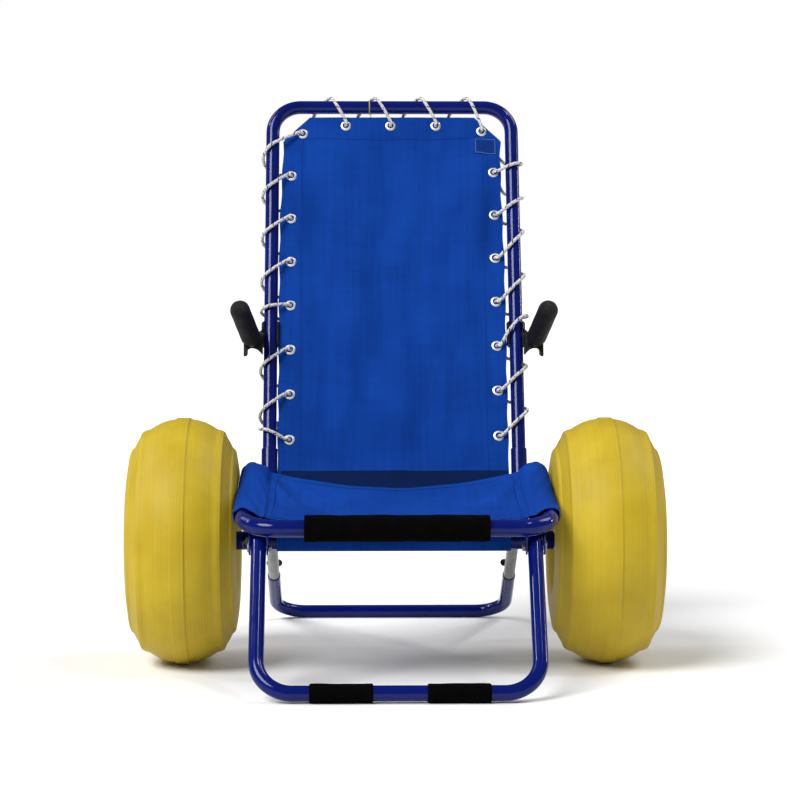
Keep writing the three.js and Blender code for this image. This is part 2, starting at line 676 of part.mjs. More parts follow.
function makeRearBolt(side) {
  const reach = rearLug.offset + rearLug.thickness / 2 + gap;
  const shank = barAlongX(side * (rear.x - reach), side * (rear.x + reach), 0, 0, bolt.radius);
  const outside = rear.x + reach;
  const inside = rear.x - reach;
  const head = barAlongX(side * (outside - 0.2), side * (outside + bolt.headHeight), 0, 0, bolt.headRadius);
  const nut = barAlongX(side * (inside - 4), side * (inside + 0.2), 0, 0, bolt.headRadius - 1, 6);
  add(rearGroup, named(side, 'rear_pivot_bolt'), join(shank, head, nut), zincPlate);
}

// ---- handles ----------------------------------------------------------------------------------------

// A spring clip open to the front, with an arm that leads to the grip.
function makeHandle(side) {
  const opening = THREE.MathUtils.degToRad(clip.openHalfAngle);
  const from = -Math.PI / 2 + opening;
  const to = -Math.PI / 2 - opening + 2 * Math.PI;
  const shape = new THREE.Shape();
  shape.absarc(0, 0, clip.outerRadius, from, to, false);
  shape.absarc(0, 0, clip.innerRadius, to, from, true);
  const extrusion = { depth: clip.height, bevelEnabled: false, curveSegments: 7 };
  const ring = new THREE.ExtrudeGeometry(shape, extrusion);
  const place = new THREE.Matrix4().makeRotationX(-recline);
  place.setPosition(0, 0, axle.z);
  ring.translate(side * back.x, 0, clip.along - clip.height / 2);
  ring.applyMatrix4(place);

  const base = at(side * grip.base.x, grip.base.y, grip.base.z);
  const tip = at(side * grip.tip.x, grip.tip.y, grip.tip.z);
  const heading = tip.clone().sub(base).normalize();
  const root = backPoint(clip.along - 2);
  const rootPoint = at(side * (back.x + 14), root.y, root.z);
  const armEnd = base.clone().addScaledVector(heading, -1);
  const arm = straightTube(rootPoint, armEnd.clone().addScaledVector(heading, -1), 9);
  const flange = straightTube(armEnd.clone().addScaledVector(heading, -3), armEnd.clone(), 13, 0, 16);
  const bore = straightTube(at(side * back.x, 0, 300), at(side * back.x, 0, 460), clip.innerRadius, 0, 16);
  bore.applyMatrix4(place);
  const gripSpace = straightTube(base.clone().addScaledVector(heading, -gap), tip, grip.radius + 1, 0, 16);
  add(cart, named(side, 'handle_clip'), cut(join(ring, arm, flange), bore, gripSpace), blackPlastic);

  const length = base.distanceTo(tip);
  const profile = [
    [0, 0], [grip.neck, 0], [grip.radius, 6], [grip.radius, length],
    [grip.radius * 0.87, length + grip.radius * 0.5], [grip.radius * 0.5, length + grip.radius * 0.87],
    [0, length + grip.radius],
  ];
  const body = turned(profile.map(([r, y]) => new THREE.Vector2(r, y)), 16);
  const mesh = add(cart, named(side, 'grip'), body, blackPlastic);
  mesh.position.copy(base);
  mesh.quaternion.setFromUnitVectors(at(0, 1, 0), heading);
}

// ---- assembly -----------------------------------------------------------------------------------------

makeAxleTube();
makeBackHoop();
makeBackPanel();
makeEyelets();
makeLacing();
makeSeatRail();
makeSling();
makeFoamPad();
makeLegHoop();
makeFootSleeves();
makeRearHoop();
for (const side of sides) {
  makeSleeve(side);
  makeStub(side);
  makeTyre(side);
  makeHub(side);
  makeHubCap(side);
  makeLinchPin(side);
  makeRailEndCap(side);
  makeSeatBolt(side);
  makeLegBolt(side);
  makeStrut(side);
  makeLockScrew(side);
  makeRearBolt(side);
  makeHandle(side);
}

// The origin is on the ground under the middle of the whole cart.
cart.updateMatrixWorld(true);
const bounds = new THREE.Box3().setFromObject(cart, true);
const middle = bounds.getCenter(new THREE.Vector3());
cart.position.set(-middle.x, -middle.y, -bounds.min.z);

export default cart;
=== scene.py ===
"""The look of the beach cart: painted tubes, laced canvas, balloon tyres and soft grips on its frame.

Sizes are in millimetres in the design's own space, where Y is 0 at the axle. piece() turns them into
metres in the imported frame. In names, left and right are as seen from the front.
"""
import math
import random

import bpy
import numpy as np
from mathutils import Matrix, Vector


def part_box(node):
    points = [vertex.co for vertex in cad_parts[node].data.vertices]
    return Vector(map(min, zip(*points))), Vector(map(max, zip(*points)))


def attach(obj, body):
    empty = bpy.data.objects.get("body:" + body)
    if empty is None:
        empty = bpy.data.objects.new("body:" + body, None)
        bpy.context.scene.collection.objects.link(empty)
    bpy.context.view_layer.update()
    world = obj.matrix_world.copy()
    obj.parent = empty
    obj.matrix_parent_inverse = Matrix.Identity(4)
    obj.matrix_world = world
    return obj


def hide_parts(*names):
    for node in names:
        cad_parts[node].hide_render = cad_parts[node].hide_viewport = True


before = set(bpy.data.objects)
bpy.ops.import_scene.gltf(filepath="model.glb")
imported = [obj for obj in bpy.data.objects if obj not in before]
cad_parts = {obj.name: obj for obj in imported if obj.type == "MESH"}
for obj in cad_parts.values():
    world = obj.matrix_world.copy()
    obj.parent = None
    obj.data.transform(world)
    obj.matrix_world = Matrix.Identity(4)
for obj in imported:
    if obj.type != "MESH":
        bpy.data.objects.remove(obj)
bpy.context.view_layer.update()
random.seed(7)

# ---- driving dimensions, the same as the CAD's ------------------------------------------------------

SIDES = {"left": -1, "right": 1}
RECLINE = math.radians(23.5)
AXLE_Z = 210
WHEEL_X = 360
STUB_END = 444
LINCH_X = 252
AXLE = {"radius": 16, "bore": 13.5, "half": 272}
BACK = {"x": 216, "radius": 12, "start": 22, "top": 823, "bend": 50,
        "sleeve": 14, "sleeve_bore": 12.75, "sleeve_top": 165}
PANEL = {"half": 197, "flare": 5, "right_flare": 3.5, "right_draw": 2, "top": 803, "chamfer": 48,
         "casing": 18.2, "seam": 60, "flat_rows": 150}
EYELET = {"inset": 15, "pitch": 84, "right_start": 189, "left_start": 182}
LACE = {"radius": 2.9, "wrap": 17.5, "over_clip": 21.5, "hairpin": 7}
CLIP = {"along": 379, "height": 44, "inner": 12.7, "outer": 16.6, "open": 50}
GRIP = {"base": (248.5, 121, 550), "tip": (266, 60, 602), "radius": 17.3, "neck": 14.5}
SEAT = {"pivot_along": 124, "front_y": -262, "front_z": 258, "radius": 14, "bore": 12.4, "bend": 58,
        "rear_x": 245.3, "front_x": 251.5, "rear_end": 12}
SLING = {"rear": -46.0, "mouth": -258.0, "front": -300.0, "seam_height": 11.2}
LEG = {"x": 224, "radius": 12.5, "bore": 11, "pivot_y": -248, "pivot_z": 225,
       "bar_y": -414, "bar_z": 15.5, "bend": 58, "top": 11}
REAR = {"x": 219, "pivot_along": 98, "pivot_behind": 32, "bar_y": 553, "bar_z": 12, "radius": 12,
        "bore": 11.05, "bend": 58, "hoop_leg": 182, "strut": 10.4, "strut_bore": 8.8, "lap": 70,
        "screw_drop": 12}
EAR = {"half": 1.5, "leg_offset": 14.4, "rear_offset": 12.2}
BOLT = {"radius": 4, "head": 7.5, "head_height": 2.4, "nut": 6.8, "clear": 0.3}
FOAM_PAD = {"half": 150, "outer": 21.8, "bore": 14.6}
FOOT_SLEEVE = {"half": 50, "outer": 15.45, "bore": 13.2, "centres": (-90, 95)}

axle_low, axle_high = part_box("axle_tube")
AXLE_Y = (axle_low.y + axle_high.y) / 2 * 1000
SHIFT = Matrix.Translation((0, AXLE_Y, 0))


def back_point(along, behind=0.0):
    """(y, z) of a point up the reclined back, and behind its middle plane."""
    y = along * math.sin(RECLINE) + behind * math.cos(RECLINE)
    z = AXLE_Z + along * math.cos(RECLINE) - behind * math.sin(RECLINE)
    return y, z


def group(y, z, angle):
    """The space of a part that pivots at (y, z), leaning by angle."""
    return SHIFT @ Matrix.Translation((0, y, z)) @ Matrix.Rotation(angle, 4, "X")


seat_y, seat_z = back_point(SEAT["pivot_along"])
rear_y, rear_z = back_point(REAR["pivot_along"], REAR["pivot_behind"])
RAIL_RUN = math.hypot(SEAT["front_y"] - seat_y, SEAT["front_z"] - seat_z)
LEG_RUN = math.hypot(LEG["bar_y"] - LEG["pivot_y"], LEG["pivot_z"] - LEG["bar_z"])
REAR_RUN = math.hypot(REAR["bar_y"] - rear_y, rear_z - REAR["bar_z"])
HOOP_TOP = -(REAR_RUN - REAR["hoop_leg"])
CART = SHIFT
BACK_SPACE = group(0, AXLE_Z, -RECLINE)
SEAT_SPACE = group(seat_y, seat_z, math.atan2(seat_z - SEAT["front_z"], seat_y - SEAT["front_y"]))
LEG_SPACE = group(LEG["pivot_y"], LEG["pivot_z"],
                  math.atan2(LEG["bar_y"] - LEG["pivot_y"], LEG["pivot_z"] - LEG["bar_z"]))
REAR_SPACE = group(rear_y, rear_z, math.atan2(REAR["bar_y"] - rear_y, rear_z - REAR["bar_z"]))

# ---- materials --------------------------------------------------------------------------------------


class Shader:
    """A Principled material and short ways to add its nodes."""

    def __init__(self, name, base, roughness, metallic=0.0, **sockets):
        self.material = bpy.data.materials.new(name)
        self.material.use_nodes = True
        self.tree = self.material.node_tree
        self.nodes = self.tree.nodes
        self.shader = self.nodes["Principled BSDF"]
        self.shader.inputs["Base Color"].default_value = (*base, 1)
        self.shader.inputs["Roughness"].default_value = roughness
        self.shader.inputs["Metallic"].default_value = metallic
        for socket, value in sockets.items():
            self.shader.inputs[socket.replace("_", " ")].default_value = value

    def link(self, source, target):
        self.tree.links.new(source, target)

    def node(self, kind, **values):
        made = self.nodes.new(kind)
        for key, value in values.items():
            if hasattr(made, key):
                setattr(made, key, value)
            else:
                made.inputs[key.replace("_", " ")].default_value = value
        return made

    def place(self, scale=(1, 1, 1), uv=False):
        """Coordinates in metres times scale, from the UV map or the object."""
        coordinates = self.node("ShaderNodeTexCoord")
        mapping = self.node("ShaderNodeMapping", Scale=scale)
        self.link(coordinates.outputs["UV" if uv else "Object"], mapping.inputs["Vector"])
        return mapping.outputs["Vector"]

    def noise(self, vector, scale, detail=3.0, roughness=0.55):
        made = self.node("ShaderNodeTexNoise", Scale=scale, Detail=detail, Roughness=roughness)
        self.link(vector, made.inputs["Vector"])
        return made.outputs["Fac"]

    def wave(self, vector, scale, direction="X", distortion=0.0):
        made = self.node("ShaderNodeTexWave", bands_direction=direction, Scale=scale, Distortion=distortion)
        self.link(vector, made.inputs["Vector"])
        return made.outputs["Fac"]

    def spread(self, factor, low, high, to_low=0, to_high=1):
        made = self.node("ShaderNodeMapRange", From_Min=low, From_Max=high, To_Min=to_low, To_Max=to_high)
        self.link(factor, made.inputs["Value"])
        return made.outputs["Result"]

    def math(self, operation, a, b):
        made = self.node("ShaderNodeMath", operation=operation)
        for socket, value in zip(made.inputs, (a, b)):
            if isinstance(value, (int, float)):
                socket.default_value = value
            else:
                self.link(value, socket)
        return made.outputs["Value"]

    def total(self, *terms):
        """The sum of (output, share) terms."""
        whole, *others = [self.math("MULTIPLY", output, share) for output, share in terms]
        for other in others:
            whole = self.math("ADD", whole, other)
        return whole

    def mix(self, factor, first, second):
        made = self.node("ShaderNodeMix", data_type="RGBA")
        if isinstance(factor, (int, float)):
            made.inputs[0].default_value = factor
        else:
            self.link(factor, made.inputs[0])
        for socket, value in ((made.inputs[6], first), (made.inputs[7], second)):
            if isinstance(value, tuple):
                socket.default_value = (*value, 1)
            else:
                self.link(value, socket)
        return made.outputs[2]

    def colour(self, output):
        self.link(output, self.shader.inputs["Base Color"])

    def rough(self, output):
        self.link(output, self.shader.inputs["Roughness"])

    def bump(self, height, distance, strength=1.0):
        made = self.node("ShaderNodeBump", Strength=strength, Distance=distance)
        self.link(height, made.inputs["Height"])
        self.link(made.outputs["Normal"], self.shader.inputs["Normal"])


def paint():
    """Dark blue gloss powder coat, with a faint orange peel and uneven gloss."""
    coat = Shader("navy_powder_coat", (0.001, 0.006, 0.12), 0.16, Specular_IOR_Level=0.23)
    space = coat.place()
    tone = coat.spread(coat.noise(space, 9), 0.3, 0.7)
    coat.colour(coat.mix(tone, (0.0006, 0.0045, 0.09), (0.0012, 0.008, 0.13)))
    coat.rough(coat.spread(coat.noise(space, 60, 5), 0.35, 0.75, 0.07, 0.16))
    coat.bump(coat.noise(space, 380, 2), 0.0002, 0.25)
    return coat.material


def canvas(name, deep, bright, uv=True):
    """Plain-woven canvas: two crossing threads, slubs along each, and soft fading."""
    cloth = Shader(name, bright, 0.85, Specular_IOR_Level=0.07)
    space = cloth.place(uv=uv)
    warp = cloth.wave(space, 210, "X", 0.4)
    weft = cloth.wave(space, 190, "Y", 0.4)
    threads = cloth.math("MAXIMUM", warp, weft)
    slub_up = cloth.noise(cloth.place((160, 5, 5), uv), 1, 4)
    slub_across = cloth.noise(cloth.place((6, 140, 6), uv), 1, 4)
    cloud = cloth.noise(space, 7, 4)
    # the threads term lightens the cloth where its bump stands high: painted shade between the threads; slubs
    # and cloud are the cloth's own tone
    tone = cloth.total((slub_up, 0.32), (slub_across, 0.14), (cloud, 0.55), (threads, 0.12))
    cloth.colour(cloth.mix(cloth.spread(tone, 0.42, 0.74), deep, bright))
    cloth.rough(cloth.spread(slub_up, 0.3, 0.7, 0.78, 0.92))
    height = cloth.math("ADD", threads, cloth.math("MULTIPLY", slub_up, 0.6))
    cloth.bump(height, 0.0004, 0.5)
    return cloth.material


def tyre_skin():
    """Moulded soft yellow tyre: a satin skin with fine turned lines round it."""
    skin = Shader("yellow_tyre_skin", (0.46, 0.33, 0.012), 0.55, Specular_IOR_Level=0.28)
    lines = skin.wave(skin.place(uv=True), 62, "Y")
    fine = skin.noise(skin.place((0.8, 420, 1), True), 1, 3)
    mottle = skin.noise(skin.place(), 11, 4)
    tone = skin.total((mottle, 0.8), (fine, 0.3))
    skin.colour(skin.mix(skin.spread(tone, 0.4, 0.72), (0.415, 0.29, 0.008), (0.5, 0.362, 0.016)))
    skin.rough(skin.spread(mottle, 0.3, 0.7, 0.48, 0.62))
    height = skin.math("ADD", skin.math("MULTIPLY", lines, 0.5), fine)
    skin.bump(height, 0.0006, 0.35)
    return skin.material


def moulding(name, low, high, roughness, grain):
    """Moulded black plastic or rubber with a fine grain."""
    made = Shader(name, high, roughness, Specular_IOR_Level=0.35)
    space = made.place()
    made.colour(made.mix(made.spread(made.noise(space, 40, 4), 0.35, 0.7), low, high))
    made.rough(made.spread(made.noise(space, 90, 3), 0.3, 0.7, roughness - 0.07, roughness + 0.08))
    made.bump(made.noise(space, grain, 2), 0.0004, 0.5)
    return made.material


def foam():
    """Closed-cell foam: matt, with a pebbled skin."""
    made = Shader("black_foam_skin", (0.006, 0.005, 0.006), 0.95, Specular_IOR_Level=0.03)
    space = made.place()
    cells = made.node("ShaderNodeTexVoronoi", Scale=520)
    made.link(space, cells.inputs["Vector"])
    made.colour(made.mix(made.noise(space, 55, 5), (0.0004, 0.0003, 0.0004), (0.0022, 0.002, 0.0023)))
    made.bump(made.math("ADD", cells.outputs["Distance"], made.noise(space, 120, 4)), 0.0008, 0.6)
    return made.material


def rubber_grip():
    """The grip's fine pyramid texture."""
    made = Shader("grip_rubber_skin", (0.006, 0.006, 0.007), 0.6, Specular_IOR_Level=0.22)
    space = made.place(uv=True)
    diagonal = made.wave(space, 100, "DIAGONAL")
    across = made.wave(made.place((-1, 1, 1), True), 100, "DIAGONAL")
    made.colour(made.mix(made.noise(made.place(), 70, 4), (0.003, 0.003, 0.004), (0.01, 0.01, 0.012)))
    made.rough(made.spread(made.noise(made.place(), 50), 0.3, 0.7, 0.5, 0.68))
    made.bump(made.math("MULTIPLY", diagonal, across), 0.0007, 0.6)
    return made.material


def plated(name, base, roughness):
    """Plated steel with a faint cloudy patina."""
    metal = Shader(name, base, roughness, 1.0)
    space = metal.place()
    cloud = metal.noise(space, 35, 5)
    darker = tuple(c * 0.72 for c in base)
    metal.colour(metal.mix(metal.spread(cloud, 0.35, 0.7), darker, base))
    metal.rough(metal.spread(metal.noise(space, 110, 4), 0.3, 0.7, roughness - 0.06, roughness + 0.12))
    metal.bump(metal.noise(space, 600, 2), 0.0001, 0.2)
    return metal.material


def braid():
    """Braided off-white cord. UV: x goes once round the cord, y is metres along it."""
    cord = Shader("braided_cord", (0.5, 0.5, 0.48), 0.8)
    parts = cord.node("ShaderNodeSeparateXYZ")
    cord.link(cord.place(uv=True), parts.inputs["Vector"])
    around, along = parts.outputs["X"], parts.outputs["Y"]
    one = cord.math("ADD", cord.math("MULTIPLY", along, 170), cord.math("MULTIPLY", around, 3))
    other = cord.math("SUBTRACT", cord.math("MULTIPLY", along, 170), cord.math("MULTIPLY", around, 3))
    strand_one = cord.math("PINGPONG", one, 0.5)
    strand_other = cord.math("PINGPONG", other, 0.5)
    weave = cord.math("MAXIMUM", strand_one, strand_other)
    dash = cord.math("LESS_THAN", cord.math("FRACT", cord.math("MULTIPLY", one, 0.5), 0), 0.24)
    pair = cord.math("LESS_THAN", cord.math("FRACT", cord.math("MULTIPLY", other, 0.25), 0), 0.45)
    dark = cord.math("MULTIPLY", dash, pair)
    fleck_place = cord.math("FRACT", cord.math("ADD", cord.math("MULTIPLY", other, 0.25), 0.37), 0)
    fleck = cord.math("MULTIPLY", cord.math("LESS_THAN", fleck_place, 0.1), dash)
    # the ground follows the weave's relief and is darker where it lies low: painted shade between the strands
    ground = cord.mix(cord.spread(weave, 0.1, 0.45), (0.36, 0.35, 0.345), (0.68, 0.67, 0.665))
    cord.colour(cord.mix(fleck, cord.mix(dark, ground, (0.02, 0.02, 0.025)), (0.16, 0.02, 0.03)))
    cord.bump(weave, 0.0009, 0.8)
    return cord.material


def label_cloth():
    """The label's plain cloth, with a thin paler border. Its UV origin is the middle of its top edge."""
    made = Shader("woven_label_cloth", (0.003, 0.03, 0.17), 0.8, Specular_IOR_Level=0.1)
    parts = made.node("ShaderNodeSeparateXYZ")
    made.link(made.place(uv=True), parts.inputs["Vector"])
    across = made.math("ABSOLUTE", parts.outputs["X"], 0)
    down = made.math("ABSOLUTE", made.math("SUBTRACT", parts.outputs["Y"], 0.016), 0)
    beyond_x = made.math("SUBTRACT", across, 0.0175)
    beyond_z = made.math("SUBTRACT", down, 0.0135)
    edge = made.math("MAXIMUM", beyond_x, beyond_z)
    border = made.math("MULTIPLY", made.math("GREATER_THAN", edge, 0), made.math("LESS_THAN", edge, 0.0012))
    fibre = made.noise(made.place((300, 900, 1), True), 1, 2)
    ground = made.mix(fibre, (0.001, 0.018, 0.12), (0.003, 0.034, 0.2))
    made.colour(made.mix(border, ground, (0.06, 0.13, 0.36)))
    made.bump(fibre, 0.0003, 0.4)
    return made.material


def tie_thread():
    """Short olive-yellow thread."""
    made = Shader("olive_thread", (0.35, 0.3, 0.05), 0.8)
    made.colour(made.mix(made.noise(made.place(), 700, 2), (0.2, 0.17, 0.02), (0.45, 0.38, 0.08)))
    return made.material


PAINT = paint()
CANVAS = canvas("blue_canvas_weave", (0.0012, 0.027, 0.19), (0.0034, 0.05, 0.325))
DARK_CANVAS = canvas("dark_canvas_weave", (0.001, 0.008, 0.047), (0.002, 0.0145, 0.076))
THREAD = canvas("sewing_thread", (0.003, 0.018, 0.12), (0.006, 0.035, 0.21), uv=False)
TYRE = tyre_skin()
PLASTIC = moulding("black_moulded_plastic", (0.004, 0.004, 0.005), (0.011, 0.011, 0.013), 0.36, 260)
FOAM = foam()
GRIP_RUBBER = rubber_grip()
ZINC = plated("zinc_plate", (0.3, 0.3, 0.295), 0.4)
NICKEL = plated("nickel_plate", (0.93, 0.91, 0.87), 0.34)
STEEL = plated("dull_spring_steel", (0.16, 0.16, 0.155), 0.42)
BRAID = braid()
LABEL = label_cloth()
TIE = tie_thread()

# ---- mesh tools -------------------------------------------------------------------------------------


def add_object(name, data):
    """A new object in the scene that shows this data."""
    made = bpy.data.objects.new(name, data)
    bpy.context.scene.collection.objects.link(made)
    return made


def piece(name, vertices, faces, material, body, nodes=(), uvs=None, space=CART, sharp=40):
    """A piece from millimetre vertices in a design space, riding on a body and standing for CAD nodes."""
    mesh = bpy.data.meshes.new(name)
    to_metres = Matrix.Diagonal((0.001, 0.001, 0.001, 1)) @ space
    mesh.from_pydata([to_metres @ Vector(v) for v in vertices], [], faces)
    mesh.validate()
    if uvs is not None:
        layer = mesh.uv_layers.new(name="UVMap")
        for loop in mesh.loops:
            layer.data[loop.index].uv = uvs[loop.vertex_index]
    mesh.materials.append(material)
    mesh.polygons.foreach_set("use_smooth", [True] * len(mesh.polygons))
    mesh.set_sharp_from_angle(angle=math.radians(sharp))
    made = add_object(name, mesh)
    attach(made, body)
    if nodes:
        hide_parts(*nodes)
    return made


class Build:
    """Collects vertices, faces and UVs of several shapes that make one piece."""

    def __init__(self):
        self.vertices, self.faces, self.uvs = [], [], []

    def add(self, vertices, faces, uvs=None, place=None):
        """Adds a shape, put in its place. Without UVs, they are its x and z in metres."""
        base = len(self.vertices)
        placed = [place @ Vector(v) for v in vertices] if place else vertices
        self.vertices += [tuple(v) for v in placed]
        self.faces += [tuple(base + i for i in face) for face in faces]
        self.uvs += uvs if uvs is not None else [(v[0] / 1000, v[2] / 1000) for v in self.vertices[base:]]
        return self

    def make(self, name, material, body, slot, nodes=(), space=CART, sharp=40):
        return piece(name, self.vertices, self.faces, material, body, nodes, self.uvs, space, sharp)


def grid_faces(rows, columns, wrap_columns=False, wrap_rows=False):
    """Four-sided faces over a grid of vertices, row after row."""
    faces = []
    for r in range(rows if wrap_rows else rows - 1):
        for c in range(columns if wrap_columns else columns - 1):
            a = r * columns + c
            b = r * columns + (c + 1) % columns
            up = (r + 1) % rows * columns
            faces.append((a, b, up + (c + 1) % columns, up + c))
    return faces


def closed_faces(rows, columns):
    """The faces of a grid whose rows are closed rings, with a face at each end."""
    ends = [tuple(range(columns))[::-1], tuple(range((rows - 1) * columns, rows * columns))]
    return grid_faces(rows, columns, wrap_columns=True) + ends


def smooth_points(points, steps=4):
    """A Catmull-Rom curve through the points."""
    knots = [Vector(p) for p in points]
    out = []
    for i in range(len(knots) - 1):
        before = knots[max(i - 1, 0)]
        a, b = knots[i], knots[i + 1]
        after = knots[min(i + 2, len(knots) - 1)]
        for k in range(steps):
            t = k / steps
            out.append(0.5 * ((2 * a) + (b - before) * t + (2 * before - 5 * a + 4 * b - after) * t * t
                              + (3 * a - before - 3 * b + after) * t ** 3))
    out.append(knots[-1])
    return out


def bent_route(corners, radius, steps=14):
    """Straight runs between the corners, with a round bend at each inner corner."""
    corners = [Vector(c) for c in corners]
    points = [corners[0]]
    for before, corner, after in zip(corners, corners[1:], corners[2:]):
        arrive = (corner - before).normalized()
        leave = (after - corner).normalized()
        turn = arrive.angle(leave)
        axis = arrive.cross(leave).normalized()
        start = corner - arrive * radius * math.tan(turn / 2)
        centre = start + axis.cross(arrive) * radius
        for k in range(steps + 1):
            points.append(centre + Matrix.Rotation(turn * k / steps, 3, axis) @ (start - centre))
    points.append(corners[-1])
    return points


def sweep(points, radius, sides=24, bore=0.0, wobble=0.0):
    """A round rod or tube along points, as (vertices, faces, uvs). UV x goes round it, y is metres along.

    Every station draws one random number, wobble or not."""
    points = [Vector(p) for p in points]
    count = len(points)
    tangents = [(points[min(i + 1, count - 1)] - points[max(i - 1, 0)]).normalized() for i in range(count)]
    normal = tangents[0].orthogonal().normalized()
    frames, length, lengths = [], 0.0, []
    for i, tangent in enumerate(tangents):
        normal = (normal - tangent * normal.dot(tangent)).normalized()
        frames.append((normal.copy(), tangent.cross(normal)))
        length += (points[i] - points[i - 1]).length if i else 0.0
        lengths.append(length)

    def ring(i, r):
        side, up = frames[i]
        return [points[i] + (side * math.cos(a) + up * math.sin(a)) * r
                for a in (2 * math.pi * k / sides for k in range(sides))]

    edge = min(0.8, radius * 0.25)
    rings = [(0, radius - edge, 0.0)]
    rings += [(i, radius + wobble * math.sin(i * 2.3) * random.random(), lengths[i]) for i in range(count)]
    rings += [(count - 1, radius - edge, length)]
    vertices, uvs = [], []
    for n, (i, r, at) in enumerate(rings):
        shift = tangents[i] * (edge if n == 1 else -edge if n == len(rings) - 2 else 0)
        vertices += [v + shift for v in ring(i, r)]
        uvs += [(k / sides, at / 1000) for k in range(sides)]
    rows = len(rings)
    if not bore:
        return vertices, closed_faces(rows, sides), uvs
    for i in range(count - 1, -1, -1):
        vertices += ring(i, bore)
        uvs += [(k / sides, lengths[i] / 1000) for k in range(sides)]
    return vertices, grid_faces(rows + count, sides, wrap_columns=True, wrap_rows=True), uvs


def lathe(profile, segments, closed=False):
    """A shape turned about Z from (radius, z) points, as (vertices, faces, uvs).

    A closed profile makes a ring, and an open one gets flat ends."""
    vertices, uvs, length = [], [], 0.0
    for i, (r, z) in enumerate(profile):
        if i:
            length += math.hypot(r - profile[i - 1][0], z - profile[i - 1][1])
        for k in range(segments):
            angle = 2 * math.pi * k / segments
            vertices.append((r * math.cos(angle), r * math.sin(angle), z))
            uvs.append((k / segments, length / 1000))
    if closed:
        return vertices, grid_faces(len(profile), segments, wrap_columns=True, wrap_rows=True), uvs
    return vertices, closed_faces(len(profile), segments), uvs


def axis_along(origin, direction):
    """A place whose Z axis points along a direction."""
    turn = Vector((0, 0, 1)).rotation_difference(Vector(direction)).to_matrix().to_4x4()
    return Matrix.Translation(origin) @ turn


def tube_piece(name, points, radius, body, nodes, space, bore=0.0):
    """A painted tube as one piece."""
    vertices, faces, uvs = sweep(points, radius, 32, bore)
    return piece(name, vertices, faces, PAINT, body, nodes, uvs, space)


def hoop_route(x, end, bar, bend):
    """The route of a U-shaped hoop across X, from its open ends to its bar, along Z."""
    return bent_route([(-x, 0, end), (-x, 0, bar), (x, 0, bar), (x, 0, end)], bend, 18)


def along_x(x=0.0, y=0.0, z=0.0, side=1):
    """A place whose Z axis points along X, to one side."""
    return Matrix.Translation((x, y, z)) @ Matrix.Rotation(side * math.pi / 2, 4, "Y")


def slab(outline, low, high, chamfer=0.6):
    """A plate from an outline in (y, z), thick along X, with small chamfers, as (vertices, faces)."""
    centre = Vector((sum(p[0] for p in outline) / len(outline), sum(p[1] for p in outline) / len(outline)))
    vertices = []
    for x, inset in ((low, chamfer), (low + chamfer, 0), (high - chamfer, 0), (high, chamfer)):
        for p in outline:
            inward = (centre - Vector(p)).normalized() * inset
            vertices.append((x, p[0] + inward.x, p[1] + inward.y))
    return vertices, closed_faces(4, len(outline))


def arc(centre, radius, start, end, count=12):
    """Points on an arc between two angles in degrees."""
    return [(centre[0] + radius * math.cos(math.radians(start + (end - start) * i / count)),
             centre[1] + radius * math.sin(math.radians(start + (end - start) * i / count)))
            for i in range(count + 1)]


def cloth(name, points, thickness, material, body, nodes, space, extra=None):
    """A closed sheet of cloth round a grid of middle points. extra adds thickness per point, for hems."""
    grid = np.array(points, float)
    rows, columns = grid.shape[:2]
    along_rows = np.gradient(grid, axis=0)
    along_columns = np.gradient(grid, axis=1)
    normals = np.cross(along_columns, along_rows)
    normals /= np.linalg.norm(normals, axis=2, keepdims=True) + 1e-9
    half = thickness / 2 + (0 if extra is None else extra[..., None])
    upper, lower = grid + normals * half, grid - normals * half
    u = np.cumsum(np.linalg.norm(np.diff(grid, axis=1, prepend=grid[:, :1]), axis=2), axis=1)
    v = np.cumsum(np.linalg.norm(np.diff(grid, axis=0, prepend=grid[:1]), axis=2), axis=0)
    u -= u[:, columns // 2][:, None]
    uvs = list(zip((u / 1000).ravel().tolist(), (v / 1000).ravel().tolist()))
    vertices = [tuple(p) for p in upper.reshape(-1, 3)] + [tuple(p) for p in lower.reshape(-1, 3)]
    size = rows * columns
    top = grid_faces(rows, columns)
    faces = top + [tuple(size + i for i in reversed(face)) for face in top]
    rim = list(range(columns)) + [r * columns + columns - 1 for r in range(1, rows)]
    rim += [(rows - 1) * columns + c for c in range(columns - 2, -1, -1)]
    rim += [r * columns for r in range(rows - 2, 0, -1)]
    for a, b in zip(rim, rim[1:] + rim[:1]):
        faces.append((b, a, size + a, size + b))
    return piece(name, vertices, faces, material, body, nodes, uvs * 2, space, sharp=60)


def stitches(name, lines, body, space):
    """Rows of sewn stitches, each a short rounded thread lying on its line of (point, out) pairs."""
    length, pitch, radius, sunk = 3.2, 4.6, 0.42, 0.1
    build = Build()
    for line in lines:
        points = [Vector(p) for p, _ in line]
        outs = [Vector(o) for _, o in line]
        travelled, due = 0.0, 0.0
        for i in range(len(points) - 1):
            run = points[i + 1] - points[i]
            direction = run.normalized()
            while due < travelled + run.length:
                start = points[i] + direction * (due - travelled)
                raised = outs[i] * radius * 0.7
                thread = [start - outs[i] * sunk, start + direction * length * 0.3 + raised,
                          start + direction * length * 0.7 + raised,
                          start + direction * length - outs[i] * sunk]
                build.add(*sweep(thread, radius, 6))
                due += pitch
            travelled += run.length
    return build.make(name, THREAD, body, "blue_canvas", space=space)


def repaint(name, material):
    """A CAD node that keeps its shape gets its finish."""
    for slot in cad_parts[name].material_slots:
        slot.material = material


# ---- the frame --------------------------------------------------------------------------------------


def hex_nut(x_from, x_to, radius, side):
    """A nut about X as (vertices, faces, uvs, place)."""
    height = x_to - x_from
    profile = [(radius * 0.6, 0), (radius * 0.9, 0), (radius, 0.6), (radius, height - 0.6),
               (radius * 0.9, height), (radius * 0.6, height)]
    return (*lathe(profile, 6), along_x(side * x_from, side=side))


